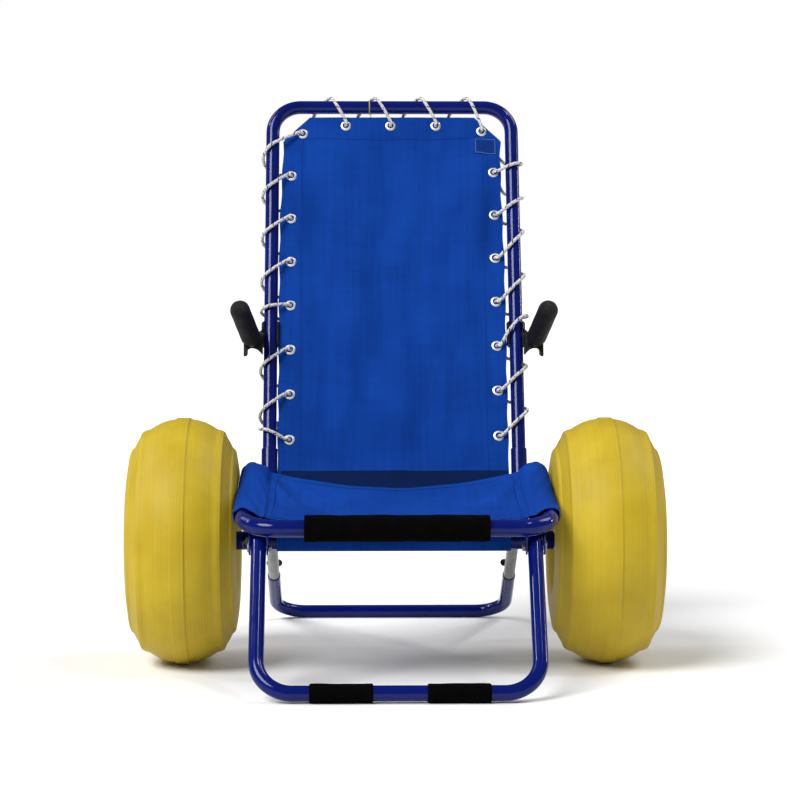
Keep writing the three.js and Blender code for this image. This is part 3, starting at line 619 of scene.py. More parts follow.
def dome_head(x_from, radius, height, side):
    """A bolt's low domed head about X as (vertices, faces, uvs, place)."""
    profile = [(radius, 0), (radius, height * 0.35), (radius * 0.93, height * 0.7), (radius * 0.7, height),
               (radius * 0.3, height * 1.12)]
    return (*lathe(profile, 28), along_x(side * x_from, side=side))


def shank(x_from, x_to, radius, side):
    """A bolt's plain stem about X as (vertices, faces, uvs, place)."""
    return (*lathe([(radius, 0), (radius, x_to - x_from)], 20), along_x(side * x_from, side=side))


def weld(build, centre_x, radius, host_radius):
    """A weld bead where an upright tube stands on a tube along X."""
    bead = 1.9
    path = []
    for k in range(49):
        angle = 2 * math.pi * k / 48
        across = radius * math.sin(angle)
        height = math.sqrt(host_radius ** 2 - across ** 2)
        path.append((centre_x + radius * math.cos(angle), across, height))
    build.add(*sweep(path, bead, 8, wobble=0.5))


def make_axle_and_sleeves():
    """The axle tube, and the two sleeves on it that hold the back hoop and the rear struts' clevises."""
    end = AXLE["half"]
    tube_piece("axle_tube_skin", [(x, 0, AXLE_Z) for x in (-end, -200, 200, end)],
               AXLE["radius"], "frame", ["axle_tube"], CART, bore=AXLE["bore"])
    for name, side in SIDES.items():
        x, strut_x = side * BACK["x"], side * REAR["x"]
        build = Build()
        sleeve = [(x, 0, 12), (x, 0, 80), (x, 0, BACK["sleeve_top"] - 4), (x, 0, BACK["sleeve_top"])]
        build.add(*sweep(sleeve, BACK["sleeve"], 32, bore=BACK["sleeve_bore"]))
        weld(build, x, BACK["sleeve"], AXLE["radius"])
        pivot = (REAR["pivot_behind"], REAR["pivot_along"])
        outline = [(13, 84), *arc(pivot, 11, -90, 90), (13, 112)]
        for ear in (-1, 1):
            middle = strut_x + ear * EAR["rear_offset"]
            build.add(*slab(outline, middle - EAR["half"], middle + EAR["half"]))
        web = EAR["rear_offset"] + EAR["half"]
        build.add(*slab([(12.5, 84), (17, 84), (17, 112), (12.5, 112)], strut_x - web, strut_x + web))
        build.make(f"back_sleeve_{name}_skin", PAINT, "frame", "navy_paint",
                   [f"back_sleeve_{name}"], BACK_SPACE)


def make_back_hoop():
    """The reclined hoop that the panel is laced to."""
    route = hoop_route(BACK["x"], BACK["start"], BACK["top"], BACK["bend"])
    tube_piece("back_hoop_skin", route, BACK["radius"], "frame", ["back_hoop"], BACK_SPACE)


# how far along the tube each right-hand turn of the cord climbs, from the lowest eyelet up
RIGHT_REACH = (50, 48, 25, 53, 54, 35, 18)


def eyelet_places():
    """As in the CAD: up the right edge, across the top, down the left edge."""
    edge = PANEL["half"] - EYELET["inset"]
    places = []
    for i in range(7):
        z = EYELET["right_start"] + EYELET["pitch"] * i
        beside = abs(z - CLIP["along"] + CLIP["height"] / 2) < 12
        places.append({"x": edge, "z": z, "run": "right", "reach": RIGHT_REACH[i], "over_clip": beside})
    for x, z in ((162, 775), (79, 786), (-3, 786), (-84, 786)):
        places.append({"x": x, "z": z, "run": "top", "reach": 34, "over_clip": False})
    places.append({"x": -162, "z": 770, "run": "left", "reach": 42, "over_clip": False})
    for i in reversed(range(7)):
        z = EYELET["left_start"] + EYELET["pitch"] * i
        above = abs(z - CLIP["along"] - CLIP["height"] / 2) < 40
        places.append({"x": -edge, "z": z, "run": "left", "reach": 10 if above else 34, "over_clip": False})
    return places


PLACES = eyelet_places()
OUTWARD = {"right": Vector((1, 0, 0)), "top": Vector((0, 0, 1)), "left": Vector((-1, 0, 0))}
ONWARD = {"right": Vector((0, 0, 1)), "top": Vector((-1, 0, 0)), "left": Vector((0, 0, -1))}


def make_eyelets():
    """Two-part pressed eyelets: a rolled collar in front and a washer behind."""
    face, rim = 1.45, 0.95
    profile = [(5.3, -face), (5.9, -face - rim), (7.4, -face - rim * 1.05), (9.0, -face - rim * 0.6),
               (9.5, -face), (7.0, -face), (6.2, -face + 0.3), (6.2, face - 0.2), (9.2, face),
               (9.4, face + 0.3), (8.6, face + 0.55), (5.6, face + 0.5)]
    build = Build()
    for place in PLACES:
        turn = Matrix.Translation((place["x"], 0, place["z"])) @ Matrix.Rotation(-math.pi / 2, 4, "X")
        build.add(*lathe(profile, 28, closed=True), turn)
    nodes = [f"eyelet_{i + 1:02d}" for i in range(len(PLACES))]
    return build.make("eyelets_nickel", NICKEL, "frame", "nickel", nodes, BACK_SPACE)


def lace_stations():
    """The cord's route as one spiral: through an eyelet from behind, over the tube, round it and on.

    The turns are (angle round the tube, climb along it). The last one goes back, clear of the sleeve."""
    stations = []
    hairpin = LACE["hairpin"]
    for i, place in enumerate(PLACES):
        out, onward = OUTWARD[place["run"]], ONWARD[place["run"]]
        centre = Vector((place["x"], 0, place["z"]))
        for degrees in (-90, -45, 0, 45, 90):
            angle = math.radians(degrees)
            inset = hairpin * (1 - math.cos(angle))
            stations.append(centre + out * inset + Vector((0, -hairpin * math.sin(angle), 0)))
        last = i == len(PLACES) - 1
        radius = LACE["over_clip"] if place["over_clip"] else LACE["wrap"]
        if place["over_clip"]:
            turns = [(135, 20), (90, 38), (45, 52), (-10, 57), (-65, 62), (-120, 67)]
        else:
            shares = {"left": (0.62, 0.95, 1.25, 1.55, 1.8), "top": (0.5, 0.75, 1, 1.35, 1.7),
                      "right": (0.46, 0.76, 1, 1.18, 1.34)}
            turns = [(a, share * place["reach"])
                     for a, share in zip((97, 45, -10, -65, -120), shares[place["run"]])]
        if place["run"] == "top":
            bar = Vector((place["x"], 0, BACK["top"]))
        else:
            bar = Vector((math.copysign(BACK["x"], place["x"]), 0, place["z"]))
        for degrees, reach in turns:
            angle = math.radians(degrees)
            stations.append(bar + out * radius * math.cos(angle) + onward * reach * (-0.5 if last else 1)
                            + Vector((0, -radius * math.sin(angle), 0)))
        if last:
            break
        following = PLACES[i + 1]
        start = stations[-1]
        bend = start - out * 14 + Vector((0, -4, 0))
        end = Vector((following["x"], hairpin, following["z"])) + OUTWARD[following["run"]] * hairpin
        for t in (0.25, 0.5, 0.78):
            stations.append(start * (1 - t) ** 2 + bend * 2 * t * (1 - t) + end * t * t)
    return stations


def knot(centre, size):
    """A pulled-tight stopper knot as a closed trefoil of cord."""
    path = []
    for k in range(61):
        t = 2 * math.pi * k / 60
        loop = Vector((math.sin(t) + 2 * math.sin(2 * t),
                       1.6 * -math.sin(3 * t),
                       math.cos(t) - 2 * math.cos(2 * t)))
        path.append(Vector(centre) + loop * size)
    return sweep(path, LACE["radius"] * 0.95, 12)


def make_lacing():
    """The braided cord and its two end knots."""
    build = Build()
    stations = lace_stations()
    build.add(*sweep(smooth_points(stations, 5), LACE["radius"], 14))
    build.add(*knot(stations[-1] + Vector((2, 2, 4)), 2.3))
    build.add(*knot(stations[0] + Vector((-1, 1.5, -1)), 2.2))
    build.make("lacing_braid", BRAID, "frame", "pale_cord", ["lacing_cord"], BACK_SPACE, sharp=80)


def smoothstep(low, high, value):
    """0 at low and 1 at high, with soft ends. low may be the larger."""
    t = np.clip((value - low) / (high - low), 0, 1)
    return t * t * (3 - 2 * t)


def panel_half_width(z, side):
    """The panel's reach to one side at a height: chamfered top corners, pulled out a little at each eyelet.

    The lacing draws it towards the left edge, so it flares sooner and further on that side."""
    if side < 0:
        flare = PANEL["flare"] * smoothstep(755, 560, z)
    else:
        flare = PANEL["right_flare"] * smoothstep(700, 480, z) - PANEL["right_draw"]
    chamfer = PANEL["half"] - (z - PANEL["top"] + PANEL["chamfer"])
    edge = PANEL["half"] + flare * smoothstep(755, 720, z)
    pull = np.cos(2 * np.pi * (z - 185) / EYELET["pitch"])
    return (np.where(z > PANEL["top"] - PANEL["chamfer"], chamfer, edge)
            + pull * smoothstep(790, 740, z) * smoothstep(90, 190, z))


def panel_waves(x, z):
    """How far the panel's cloth stands towards the front, in millimetres."""
    slack = smoothstep(60, 260, z) * smoothstep(803, 740, z) * smoothstep(200, 150, np.abs(x))
    lean = x * (1 - 0.22 * smoothstep(300, 803, z))
    waves = 4.2 * np.sin(lean / 15 + 0.9 * np.sin(z / 120) + 0.4) * (0.55 + 0.45 * np.sin(z / 130 + x / 60))
    waves += 3.4 * np.sin(lean / 33 + z / 260 + 2) + 1.3 * np.sin(lean / 9 + np.sin(z / 60) * 1.5)
    pucker = np.zeros_like(x)
    calm = np.ones_like(x)
    for place in PLACES:
        dx, dz = x - place["x"], z - place["z"]
        away = np.hypot(dx, dz)
        spread = np.cos(3.0 * np.arctan2(dz, dx * math.copysign(1, -place["x"]) + 1e-6))
        pucker += 1.3 * spread * np.exp(-away / 26) * (1 - np.exp(-away / 9))
        # each eyelet holds the cloth in the panel's own plane
        calm = calm * (1 - 0.97 * np.exp(-((away / 17) ** 4)))
    return waves * slack * calm + pucker


def panel_rows():
    """The panel's middle line in (y, z): down the back, then round the axle tube and up behind itself."""
    r, seam = PANEL["casing"], PANEL["seam"]
    beta = math.asin(r / seam)
    rows = [(0.0, z) for z in np.linspace(PANEL["top"], seam, PANEL["flat_rows"])]
    for angle in np.linspace(beta, -math.pi - beta, 34):
        rows.append((-r * math.cos(angle), r * math.sin(angle)))
    last = rows[-1]
    rows += [(last[0] + (2.6 - last[0]) * t, last[1] + (seam - last[1]) * t) for t in (0.33, 0.66, 1)]
    rows += [(2.5, 66), (2.5, 74)]
    return rows


def on_panel(x, z, lift=0.9):
    """A point just in front of the panel's cloth, and the way out of it."""
    wave = float(panel_waves(np.array([float(x)]), np.array([float(z)]))[0])
    return (x, -wave - lift, z), (0, -1, 0)


def make_panel():
    """The laced back panel, doubled at its hems, and the pieces that are sewn to it."""
    rows = panel_rows()
    across = np.linspace(-1, 1, 101)
    points = np.zeros((len(rows), len(across), 3))
    extra = np.zeros(points.shape[:2])
    for i, (y, z) in enumerate(rows):
        flat = i < PANEL["flat_rows"]
        height = np.array(z if flat else float(PANEL["seam"]))
        half = [float(panel_half_width(height, side)) for side in (-1, 1)]
        x = np.where(across < 0, across * half[0], across * half[1])
        points[i, :, 0] = x
        points[i, :, 1] = y
        points[i, :, 2] = z
        if flat:
            points[i, :, 1] = y - panel_waves(x, np.full_like(x, z))
            edge = np.minimum(PANEL["half"] - np.abs(x), PANEL["top"] - z)
            corner = (PANEL["half"] + PANEL["top"] - PANEL["chamfer"] - np.abs(x) - z) / math.sqrt(2)
            extra[i] = 0.35 * smoothstep(38, 36, np.minimum(edge, corner))
    panel = cloth("back_panel_canvas", points, 1.1, CANVAS, "frame", ["back_panel"], BACK_SPACE, extra)
    return panel, [stitch_panel(), make_panel_strip(), make_label()]


def stitch_panel():
    """Rows of stitches along the panel's side hems, its top hem and the casing's seam."""
    lines = []
    hem_x, hem_z = PANEL["half"] - 34, PANEL["top"] - 44
    for side in (-1, 1):
        lines.append([on_panel(side * hem_x, z) for z in np.linspace(66, hem_z, 90)])
    lines.append([on_panel(x, hem_z) for x in np.linspace(-hem_x, hem_x, 50)])
    lines.append([on_panel(x, 62) for x in np.linspace(-190, 190, 60)])
    return stitches("back_panel_stitching", lines, "frame", BACK_SPACE)


def make_panel_strip():
    """A darker strip of cloth across the foot of the panel, from the seat's height down. It leans forward
    over the casing.
    """
    strip_x = np.linspace(-196, 196, 80)
    strip = []
    for z in np.linspace(125, 50, 22):
        lean = 8 * max(0.0, (60 - z) / 42)
        strip.append([(x, on_panel(x, z, 1.6)[0][1] - lean, z) for x in strip_x])
    return cloth("back_panel_lower_strip", np.array(strip), 0.9, DARK_CANVAS, "frame", [], BACK_SPACE)


def make_label():
    """A plain woven label with a paler border, sewn near the top corner."""
    centre_x, centre_z, half_x, half_z, lift = 168, 744, 20, 16, 1.25
    steps = np.linspace(-1, 1, 15)
    points = [[on_panel(centre_x + u * half_x, centre_z + v * half_z, lift)[0] for u in steps]
              for v in steps[::-1]]
    return cloth("woven_label", points, 0.5, LABEL, "frame", [], BACK_SPACE)


# ---- the seat ---------------------------------------------------------------------------------------


def rail_x(y):
    """How far out the splayed side rail is, at y along it."""
    return SEAT["rear_x"] + (SEAT["front_x"] - SEAT["rear_x"]) * -y / RAIL_RUN


def make_seat_rail():
    """The U-shaped rail, with the pairs of ears that hold the front leg under its front bends."""
    rear_x, front_x, end = SEAT["rear_x"], SEAT["front_x"], SEAT["rear_end"]
    corners = [(-rear_x, end, 0), (-front_x, -RAIL_RUN, 0), (front_x, -RAIL_RUN, 0), (rear_x, end, 0)]
    build = Build()
    build.add(*sweep(bent_route(corners, SEAT["bend"], 18), SEAT["radius"], 36, bore=SEAT["bore"]))
    pivot = SEAT_SPACE.inverted() @ (SHIFT @ Vector((0, LEG["pivot_y"], LEG["pivot_z"])))
    for side in SIDES.values():
        for ear in (-1, 1):
            middle = side * LEG["x"] + ear * EAR["leg_offset"]
            past_bend = max(abs(middle) - (front_x - SEAT["bend"]), 0)
            rail_y = -RAIL_RUN + SEAT["bend"] - math.sqrt(SEAT["bend"] ** 2 - past_bend ** 2)
            outline = [*arc((pivot.y, pivot.z), 12, 180, 360), (rail_y + 13, -12.6), (rail_y - 4, -12.6)]
            build.add(*slab(outline, middle - EAR["half"], middle + EAR["half"]))
    build.make("seat_rail_skin", PAINT, "seat", "navy_paint", ["seat_rail"], SEAT_SPACE)


def make_rail_end_caps():
    """A moulded cap on each rear end of the rail, in line with its splayed side."""
    profile = [(11.3, -4), (11.3, 0.4), (13.7, 0.4), (14, 1.2), (13.4, 3), (11.5, 4.4), (8, 5.3), (3, 5.6)]
    slope = math.atan2(SEAT["front_x"] - SEAT["rear_x"], RAIL_RUN + SEAT["rear_end"])
    for name, side in SIDES.items():
        place = (Matrix.Translation((side * SEAT["rear_x"], SEAT["rear_end"], 0))
                 @ Matrix.Rotation(side * slope, 4, "Z") @ Matrix.Rotation(-math.pi / 2, 4, "X"))
        build = Build().add(*lathe(profile, 28), place)
        build.make(f"rail_end_cap_{name}_moulded", PLASTIC, "seat", "black_plastic",
                   [f"rail_end_cap_{name}"], SEAT_SPACE)


def pocket_shape(y):
    """A loose pocket round a side rail, from its sewn end under the seat, round the rail, to the top seam.

    Points are (offset from the rail, height), negative towards the middle. It stands higher at the rear."""
    rear = float(smoothstep(-220, -60, np.array(float(y))))
    top = 17.2 + 11.3 * rear
    return [(-47, 9.2), (-39, 9.4), (-31, 6.4), (-23, 0.6), (-13, -10.5), (-5, -15.6), (3, -16.4),
            (10.5, -12.8), (15.4, -6), (16.8, 1), (16.2, 9), (13, top * 0.66), (7, top * 0.88),
            (-1, top * 0.98), (-10, top), (-19, top * 0.93), (-28, top * 0.76), (-34, 13.2), (-37.5, 11.2)]


def sling_waves(u, y):
    """Folds that fan out of the rear corners, and soft cross waves. u is -1 to 1 across, y along the rail."""
    height = np.zeros_like(u)
    for corner, amount, turn in ((-1, 1.0, 0.2), (1, 1.15, 0.9)):
        across = (u - corner) * -corner * 205
        along = SLING["rear"] - y
        away = np.hypot(across, along) + 1e-6
        angle = np.arctan2(along, across + 8)
        folds = np.sin(11 * angle + turn) * 0.8 + np.sin(19 * angle + 2 * turn + away / 55) * 0.4
        fan = 0.25 + 0.75 * np.sin(angle) ** 0.6
        height += amount * 3.6 * folds * (away / 75) * np.exp(1 - away / 75) * fan
    broad = 0.9 * np.sin(u * 5.2 + y / 33) * (1 - u * u)
    fine = 0.5 * np.sin(u * 13 - y / 21 + 1) * (1 - u ** 4)
    return height + (broad + fine)


def mouth_y(offset, along_shape):
    """Where the pocket ends at the front: slantwise over the rail, to reach the front edge inside it."""
    mouth, front = SLING["mouth"], SLING["front"]
    if along_shape > 0.5:
        return mouth + (front + 4 - mouth) * float(smoothstep(8, -34, np.array(offset)))
    return mouth - 34 * float(smoothstep(-15, -33, np.array(offset)))


def sling_pockets(t):
    """The left and right pockets' points at a share of the way to the front, and the rail's x there."""
    rear = SLING["rear"]
    y_pocket = rear + (SLING["mouth"] - rear) * t
    shape = smooth_points([(x, 0, z) for x, z in pocket_shape(y_pocket)], 3)
    x_rail = rail_x(y_pocket)
    ripple = [1.1 * math.sin(i * 0.55 + y_pocket / 13) * math.sin(y_pocket / 29 + i * 0.2)
              * min(1, max(0, i - 24) / 6) * min(1, (len(shape) - 1 - i) / 6) for i in range(len(shape))]
    right = [(x_rail + p.x, rear + (mouth_y(p.x, i / len(shape)) - rear) * t, p.z + ripple[i])
             for i, p in enumerate(shape)]
    left = [(-x, y, z - 2 * w) for (x, y, z), w in zip(right, ripple)]
    return left, right, x_rail


def sling_middle(t, across):
    """The sagging cloth between the pockets. The sag draws its rear edge forward a little in the middle."""
    rear = SLING["rear"]
    y_front = SLING["front"] + 4 * smoothstep(0.8, 1, np.abs(across))
    y_middle = rear + (y_front - rear) * t
    y_middle = y_middle - 4 * (1 - across ** 2) * (1 - t) ** 3
    sag = np.interp(-y_middle, [46, 110, 180, 258, 300], [25.5, 28, 28, 19, 17])
    half = np.array([rail_x(y) for y in y_middle]) - 37.5
    z_middle = SLING["seam_height"] - sag * (1 - np.abs(across) ** 2.2) + sling_waves(across, y_middle)
    return [(u * h, y, z) for u, h, y, z in zip(across, half, y_middle, z_middle)]


def make_sling():
    """One sheet: under the seat, round a side rail, across the sagging middle, and round the other rail."""
    rows = 60
    across = np.linspace(-1, 1, 91)[1:-1]
    points, extra = [], []
    for r in range(rows):
        t = r / (rows - 1)
        left, right, x_rail = sling_pockets(t)
        row = left + sling_middle(t, across) + right[::-1]
        points.append(row)
        x, y, z = np.array(row).T
        near_rear = smoothstep(20, 18, SLING["rear"] - y)
        seam = np.exp(-(((np.abs(x) - x_rail + 38.5) / 3) ** 2)) * np.where(z > 4, 1, 0)
        extra.append(0.4 * near_rear + 0.25 * seam)
    sheet = cloth("seat_sling_canvas", points, 1.2, CANVAS, "seat", ["seat_sling"], SEAT_SPACE,
                  np.array(extra))
    return sheet, [stitch_sling(np.array(points), len(right))]


def stitch_sling(grid, pocket):
    """Two rows of stitches along each pocket's top seam, and one along the rear and front hems."""
    rows, columns = grid.shape[:2]
    lines = []
    for column in (pocket + 1, columns - pocket - 2, pocket - 3, columns - pocket + 2):
        lines.append([(grid[r, column] + np.array([0, 0, 0.9]), (0, 0, 1)) for r in range(rows)])
    for row in (4, rows - 3):
        lines.append([(grid[row, column] + np.array([0, 0, 1.0]), (0, 0, 1))
                      for column in range(pocket, columns - pocket)])
    return stitches("seat_sling_stitching", lines, "seat", SEAT_SPACE)


def foam_tube(name, centre, size, body, node, space, seed):
    """A foam sleeve on a tube along X: rounded ends, a faintly uneven skin and a slit line underneath."""
    half, outer, bore = size["half"], size["outer"], size["bore"]
    profile_x = [-half, -half + 0.6, -half + 2.5, *np.linspace(-half + 8, half - 8, 40),
                 half - 2.5, half - 0.6, half]
    sides = 40
    angles = [2 * math.pi * k / sides for k in range(sides)]
    vertices, uvs = [], []

    def add_ring(x, radii):
        for k, (angle, r) in enumerate(zip(angles, radii)):
            vertices.append((centre[0] + x, centre[1] + r * math.cos(angle), centre[2] + r * math.sin(angle)))
            uvs.append((k / sides, x / 1000))

    for x in profile_x:
        from_end = half - abs(x)
        radius = outer - 2.4 * (1 - math.sqrt(max(0.0, 1 - (1 - min(from_end / 2.5, 1)) ** 2)))
        add_ring(x, [radius + 0.28 * math.sin(x / 17 + seed + 2 * angle)
                     + 0.2 * math.sin(x / 7.3 + 3 * angle + seed)
                     - 1.3 * math.exp(-((angle - 1.5 * math.pi) / 0.06) ** 2) for angle in angles])
    for x in (half - 0.2, -half + 0.2):
        add_ring(x, [bore] * sides)
    faces = grid_faces(len(profile_x) + 2, sides, wrap_columns=True, wrap_rows=True)
    made = piece(name, vertices, faces, FOAM, body, [node], uvs, space, sharp=70)
    return made


# ---- legs and rear support --------------------------------------------------------------------------


def make_front_leg():
    """The folding front leg, with two foam sleeves on its foot bar."""
    route = hoop_route(LEG["x"], LEG["top"], -LEG_RUN, LEG["bend"])
    tube_piece("front_leg_hoop_skin", route, LEG["radius"], "front_leg", ["front_leg_hoop"], LEG_SPACE,
               bore=LEG["bore"])
    for i, x in enumerate(FOOT_SLEEVE["centres"]):
        foam_tube(f"foot_sleeve_{i + 1}_foam", (x, 0, -LEG_RUN), FOOT_SLEEVE, "front_leg",
                  f"foot_sleeve_{i + 1}", LEG_SPACE, 3 * i)


def screw_place(side, behind):
    """The space of a lock screw and its boss, this far behind the hoop leg's middle."""
    return (Matrix.Translation((side * REAR["x"], behind, HOOP_TOP - REAR["screw_drop"]))
            @ Matrix.Rotation(-math.pi / 2, 4, "X"))


def make_rear_support():
    """The plated struts, the hoop that slides on them and the screws that lock it."""
    for name, side in SIDES.items():
        end = HOOP_TOP - REAR["lap"]
        build = Build().add(*sweep([(side * REAR["x"], 0, z) for z in (9, 0, end / 2, end)],
                                   REAR["strut"], 32, bore=REAR["strut_bore"]))
        build.make(f"rear_strut_{name}_plated", ZINC, "rear_struts", "zinc",
                   [f"rear_strut_{name}"], REAR_SPACE)
    route = hoop_route(REAR["x"], HOOP_TOP, -REAR_RUN, REAR["bend"])
    build = Build().add(*sweep(route, REAR["radius"], 32, bore=REAR["bore"]))
    boss = [(3.6, -0.6), (7, -0.6), (7, 4), (6.4, 5), (3.6, 5)]
    for side in SIDES.values():
        build.add(*lathe(boss, 24, closed=True), screw_place(side, REAR["radius"]))
    build.make("rear_hoop_skin", PAINT, "rear_hoop", "navy_paint", ["rear_hoop"], REAR_SPACE)
    for name, side in SIDES.items():
        make_lock_screw(name, side)


def make_lock_screw(name, side):
    """A black wing screw: a stem, a cone and two rounded wings."""
    place = screw_place(side, REAR["radius"] + 0.3)
    profile = [(2.6, 0), (3, 0.5), (3, 6), (5.6, 6.4), (6, 8), (5.6, 12), (4.6, 15), (2, 16)]
    build = Build()
    build.add(*lathe(profile, 24), place)
    for wing in (-1, 1):
        vertices, uvs = [], []
        rings, sides = 9, 20
        for i in range(rings):
            lift = math.pi * (i + 0.5) / rings
            for k in range(sides):
                angle = 2 * math.pi * k / sides
                thin = math.copysign(abs(math.cos(lift)) ** 0.7, math.cos(lift)) * 2.2
                spread = math.sin(lift) ** 0.45 * 7
                vertices.append((wing * 8 + spread * math.cos(angle), thin, 17 + spread * math.sin(angle)))
                uvs.append((k / sides, i / rings * 0.02))
        build.add(vertices, closed_faces(rings, sides), uvs, place)
    build.make(f"lock_screw_{name}_moulded", PLASTIC, f"lock_screw_{name}", "black_plastic",
               [f"lock_screw_{name}"], REAR_SPACE)


# ---- wheels -----------------------------------------------------------------------------------------


def tyre_profile():
    """Half of the tyre's outer skin as (x, radius): half the raised middle band and two stepped shoulders."""
    return [(0, 210), (9.4, 210), (11, 209.7), (11.9, 208.9), (12.8, 207.9), (15, 207.4), (25, 205.6),
            (36, 202.2), (46, 197.4), (54, 192.4), (58, 190), (61, 189.4), (65, 188.2), (69.4, 185.8),
            (71, 183.4), (71.6, 180.4), (73, 177.6), (77.5, 170), (81.6, 162), (83.4, 158.6), (85.6, 157.2),
            (87.6, 155), (88.8, 152), (89.4, 148), (90.8, 140), (92.4, 130), (93.4, 120.5), (93.6, 110),
            (93.2, 99.5), (91, 89.5), (86, 81), (78.5, 74), (69, 68.2), (59, 63.2), (52.5, 59.5), (50, 56.4)]


def make_tyre(name, side):
    """A hollow balloon tyre, with its small filling valve beside the rim."""
    outer = tyre_profile()
    inner = [(44, 56.4), (60, 66), (76, 78), (88, 96), (89, 112), (84, 135), (74, 158), (58, 184),
             (38, 198.5)]
    ring = [(-x, r) for x, r in reversed(outer[1:])] + outer
    ring += inner + [(-x, r) for x, r in reversed(inner)]
    place = along_x(side * WHEEL_X, 0, AXLE_Z)
    build = Build().add(*lathe([(r, x) for x, r in ring], 144, closed=True), place)
    angle = math.radians(100)
    valve = Matrix.Translation((side * (WHEEL_X + 71), 74 * math.cos(angle), AXLE_Z + 74 * math.sin(angle)))
    build.add(*lathe([(5, -6), (5, 0), (3.4, 1.5), (3.2, 9), (2.2, 10.4)], 18),
              valve @ Matrix.Rotation(side * math.pi / 2, 4, "Y"))
    build.make(f"tyre_{name}_skin", TYRE, f"wheel_{name}", "yellow_tyre", [f"tyre_{name}"], sharp=25)


def make_hub(name, side):
    """A moulded hub: rim, web, boss and eight ribs on each face."""
    inner = AXLE["half"] + 1.8 - WHEEL_X
    outer = STUB_END - 0.8 - WHEEL_X
    profile = [(10.6, inner), (18, inner), (19, inner + 1), (19, -7), (21, -5), (48, -5), (50, -7), (50, -47),
               (51, -48), (55, -48), (55, 48), (51, 48), (50, 47), (50, 7), (48, 5), (21, 5), (19, 7),
               (19, outer - 1), (18, outer), (10.6, outer)]
    place = along_x(side * WHEEL_X, 0, AXLE_Z, side)
    build = Build().add(*lathe(profile, 64, closed=True), place)
    # a slab is thick along X: this turns it so its outline lies in the radius-axis plane
    stand = Matrix(((0, 1, 0, 0), (1, 0, 0, 0), (0, 0, 1, 0), (0, 0, 0, 1)))
    for k in range(8):
        turn = Matrix.Rotation(2 * math.pi * (k + 0.5) / 8, 4, "Z")
        for face in (-1, 1):
            rib = [(18.5, face * 4), (18.5, face * 40), (30, face * 34), (50.5, face * 38), (50.5, face * 4)]
            build.add(*slab(rib, -1.7, 1.7, 0.4), None, place @ turn @ stand)
    build.make(f"hub_{name}_moulded", PLASTIC, f"wheel_{name}", "black_plastic", [f"hub_{name}"])


def make_hub_cap(name, side):
    """A low turned cap on the stub axle's end."""
    profile = [(15.4, 0), (16, 0.5), (16, 2.6), (15.2, 3.6), (12.4, 4.7), (7, 4.95), (5.5, 4.4), (2, 4.3)]
    build = Build().add(*lathe(profile, 40), along_x(side * (STUB_END + 0.3), 0, AXLE_Z, side))
    build.make(f"hub_cap_{name}_moulded", PLASTIC, "frame", "black_plastic", [f"hub_cap_{name}"])


def make_pin(name, side):
    """The linch pin's wire ring, round and smooth. The pin itself keeps its CAD shape."""
    ring, wire, steps, sides = 7.5, 0.9, 48, 12
    x, y, z = side * LINCH_X, -26, AXLE_Z + 3 - ring
    centre = Vector((x, y, z))
    vertices, uvs = [], []
    for i in range(steps):
        a = 2 * math.pi * i / steps
        p = Vector((x + ring * math.sin(a), y, z + ring * math.cos(a)))
        out = (p - centre).normalized()
        for k in range(sides):
            angle = 2 * math.pi * k / sides
            vertices.append(p + out * wire * math.cos(angle) + Vector((0, 1, 0)) * wire * math.sin(angle))
            uvs.append((k / sides, i / 1000))
    faces = grid_faces(steps, sides, wrap_columns=True, wrap_rows=True)
    piece(f"pin_ring_{name}_wire", vertices, faces, ZINC, f"ring_{name}", [f"pin_ring_{name}"], uvs)


# ---- bolts ------------------------------------------------------------------------------------------


def make_bolt(name, side, stem, head, nut, body, space):
    """A plated pivot bolt: where its stem and nut start and end along X, and where its head starts."""
    build = Build().add(*shank(*stem, BOLT["radius"], side))
    build.add(*dome_head(head, BOLT["head"], BOLT["head_height"], side))
    if nut:
        build.add(*hex_nut(*nut, BOLT["nut"], side))
    build.make(f"{name}_plated", ZINC, body, "zinc", [name], space)


def make_bolts():
    """The bolts at the pivots of the seat, the front leg and the rear support."""
    for name, side in SIDES.items():
        face = SEAT["rear_x"] + SEAT["radius"] + 0.6
        make_bolt(f"seat_pivot_bolt_{name}", side, (BACK["x"] - 5, face + BOLT["clear"]), face, None,
                  "seat", SEAT_SPACE)
        reach = EAR["leg_offset"] + EAR["half"] + BOLT["clear"]
        near, far = LEG["x"] - reach, LEG["x"] + reach
        make_bolt(f"leg_pivot_bolt_{name}", side, (near - 4, far), far, (near - 5, near), "seat", LEG_SPACE)
        reach = EAR["rear_offset"] + EAR["half"] + BOLT["clear"]
        near, far = REAR["x"] - reach, REAR["x"] + reach
        make_bolt(f"rear_pivot_bolt_{name}", side, (near, far), far - 0.2, (near - 4, near + 0.2),
                  "frame", REAR_SPACE)


# ---- handles ----------------------------------------------------------------------------------------


def handle_clip():
    """The spring clip as (vertices, faces): most of a ring, with its two lips turned out at the gap."""
    half = CLIP["height"] / 2
    start, end = -90 + CLIP["open"], 270 - CLIP["open"]
    inner, outer = CLIP["inner"], CLIP["outer"]
    section = [(inner, -half + 0.8), (inner + 0.8, -half), (outer - 1.4, -half), (outer, -half + 1.4),
               (outer, half - 1.4), (outer - 1.4, half), (inner + 0.8, half), (inner, half - 0.8)]
    steps = 44
    vertices = []
    for n in range(steps + 1):
        angle = math.radians(start + (end - start) * n / steps)
        lip = 1.2 if n in (0, steps) else 0
        for r, z in section:
            wide = r + (lip if r <= inner + 0.8 else -lip * 0.3)
            vertices.append((wide * math.cos(angle), wide * math.sin(angle), z))
    return vertices, closed_faces(steps + 1, len(section))


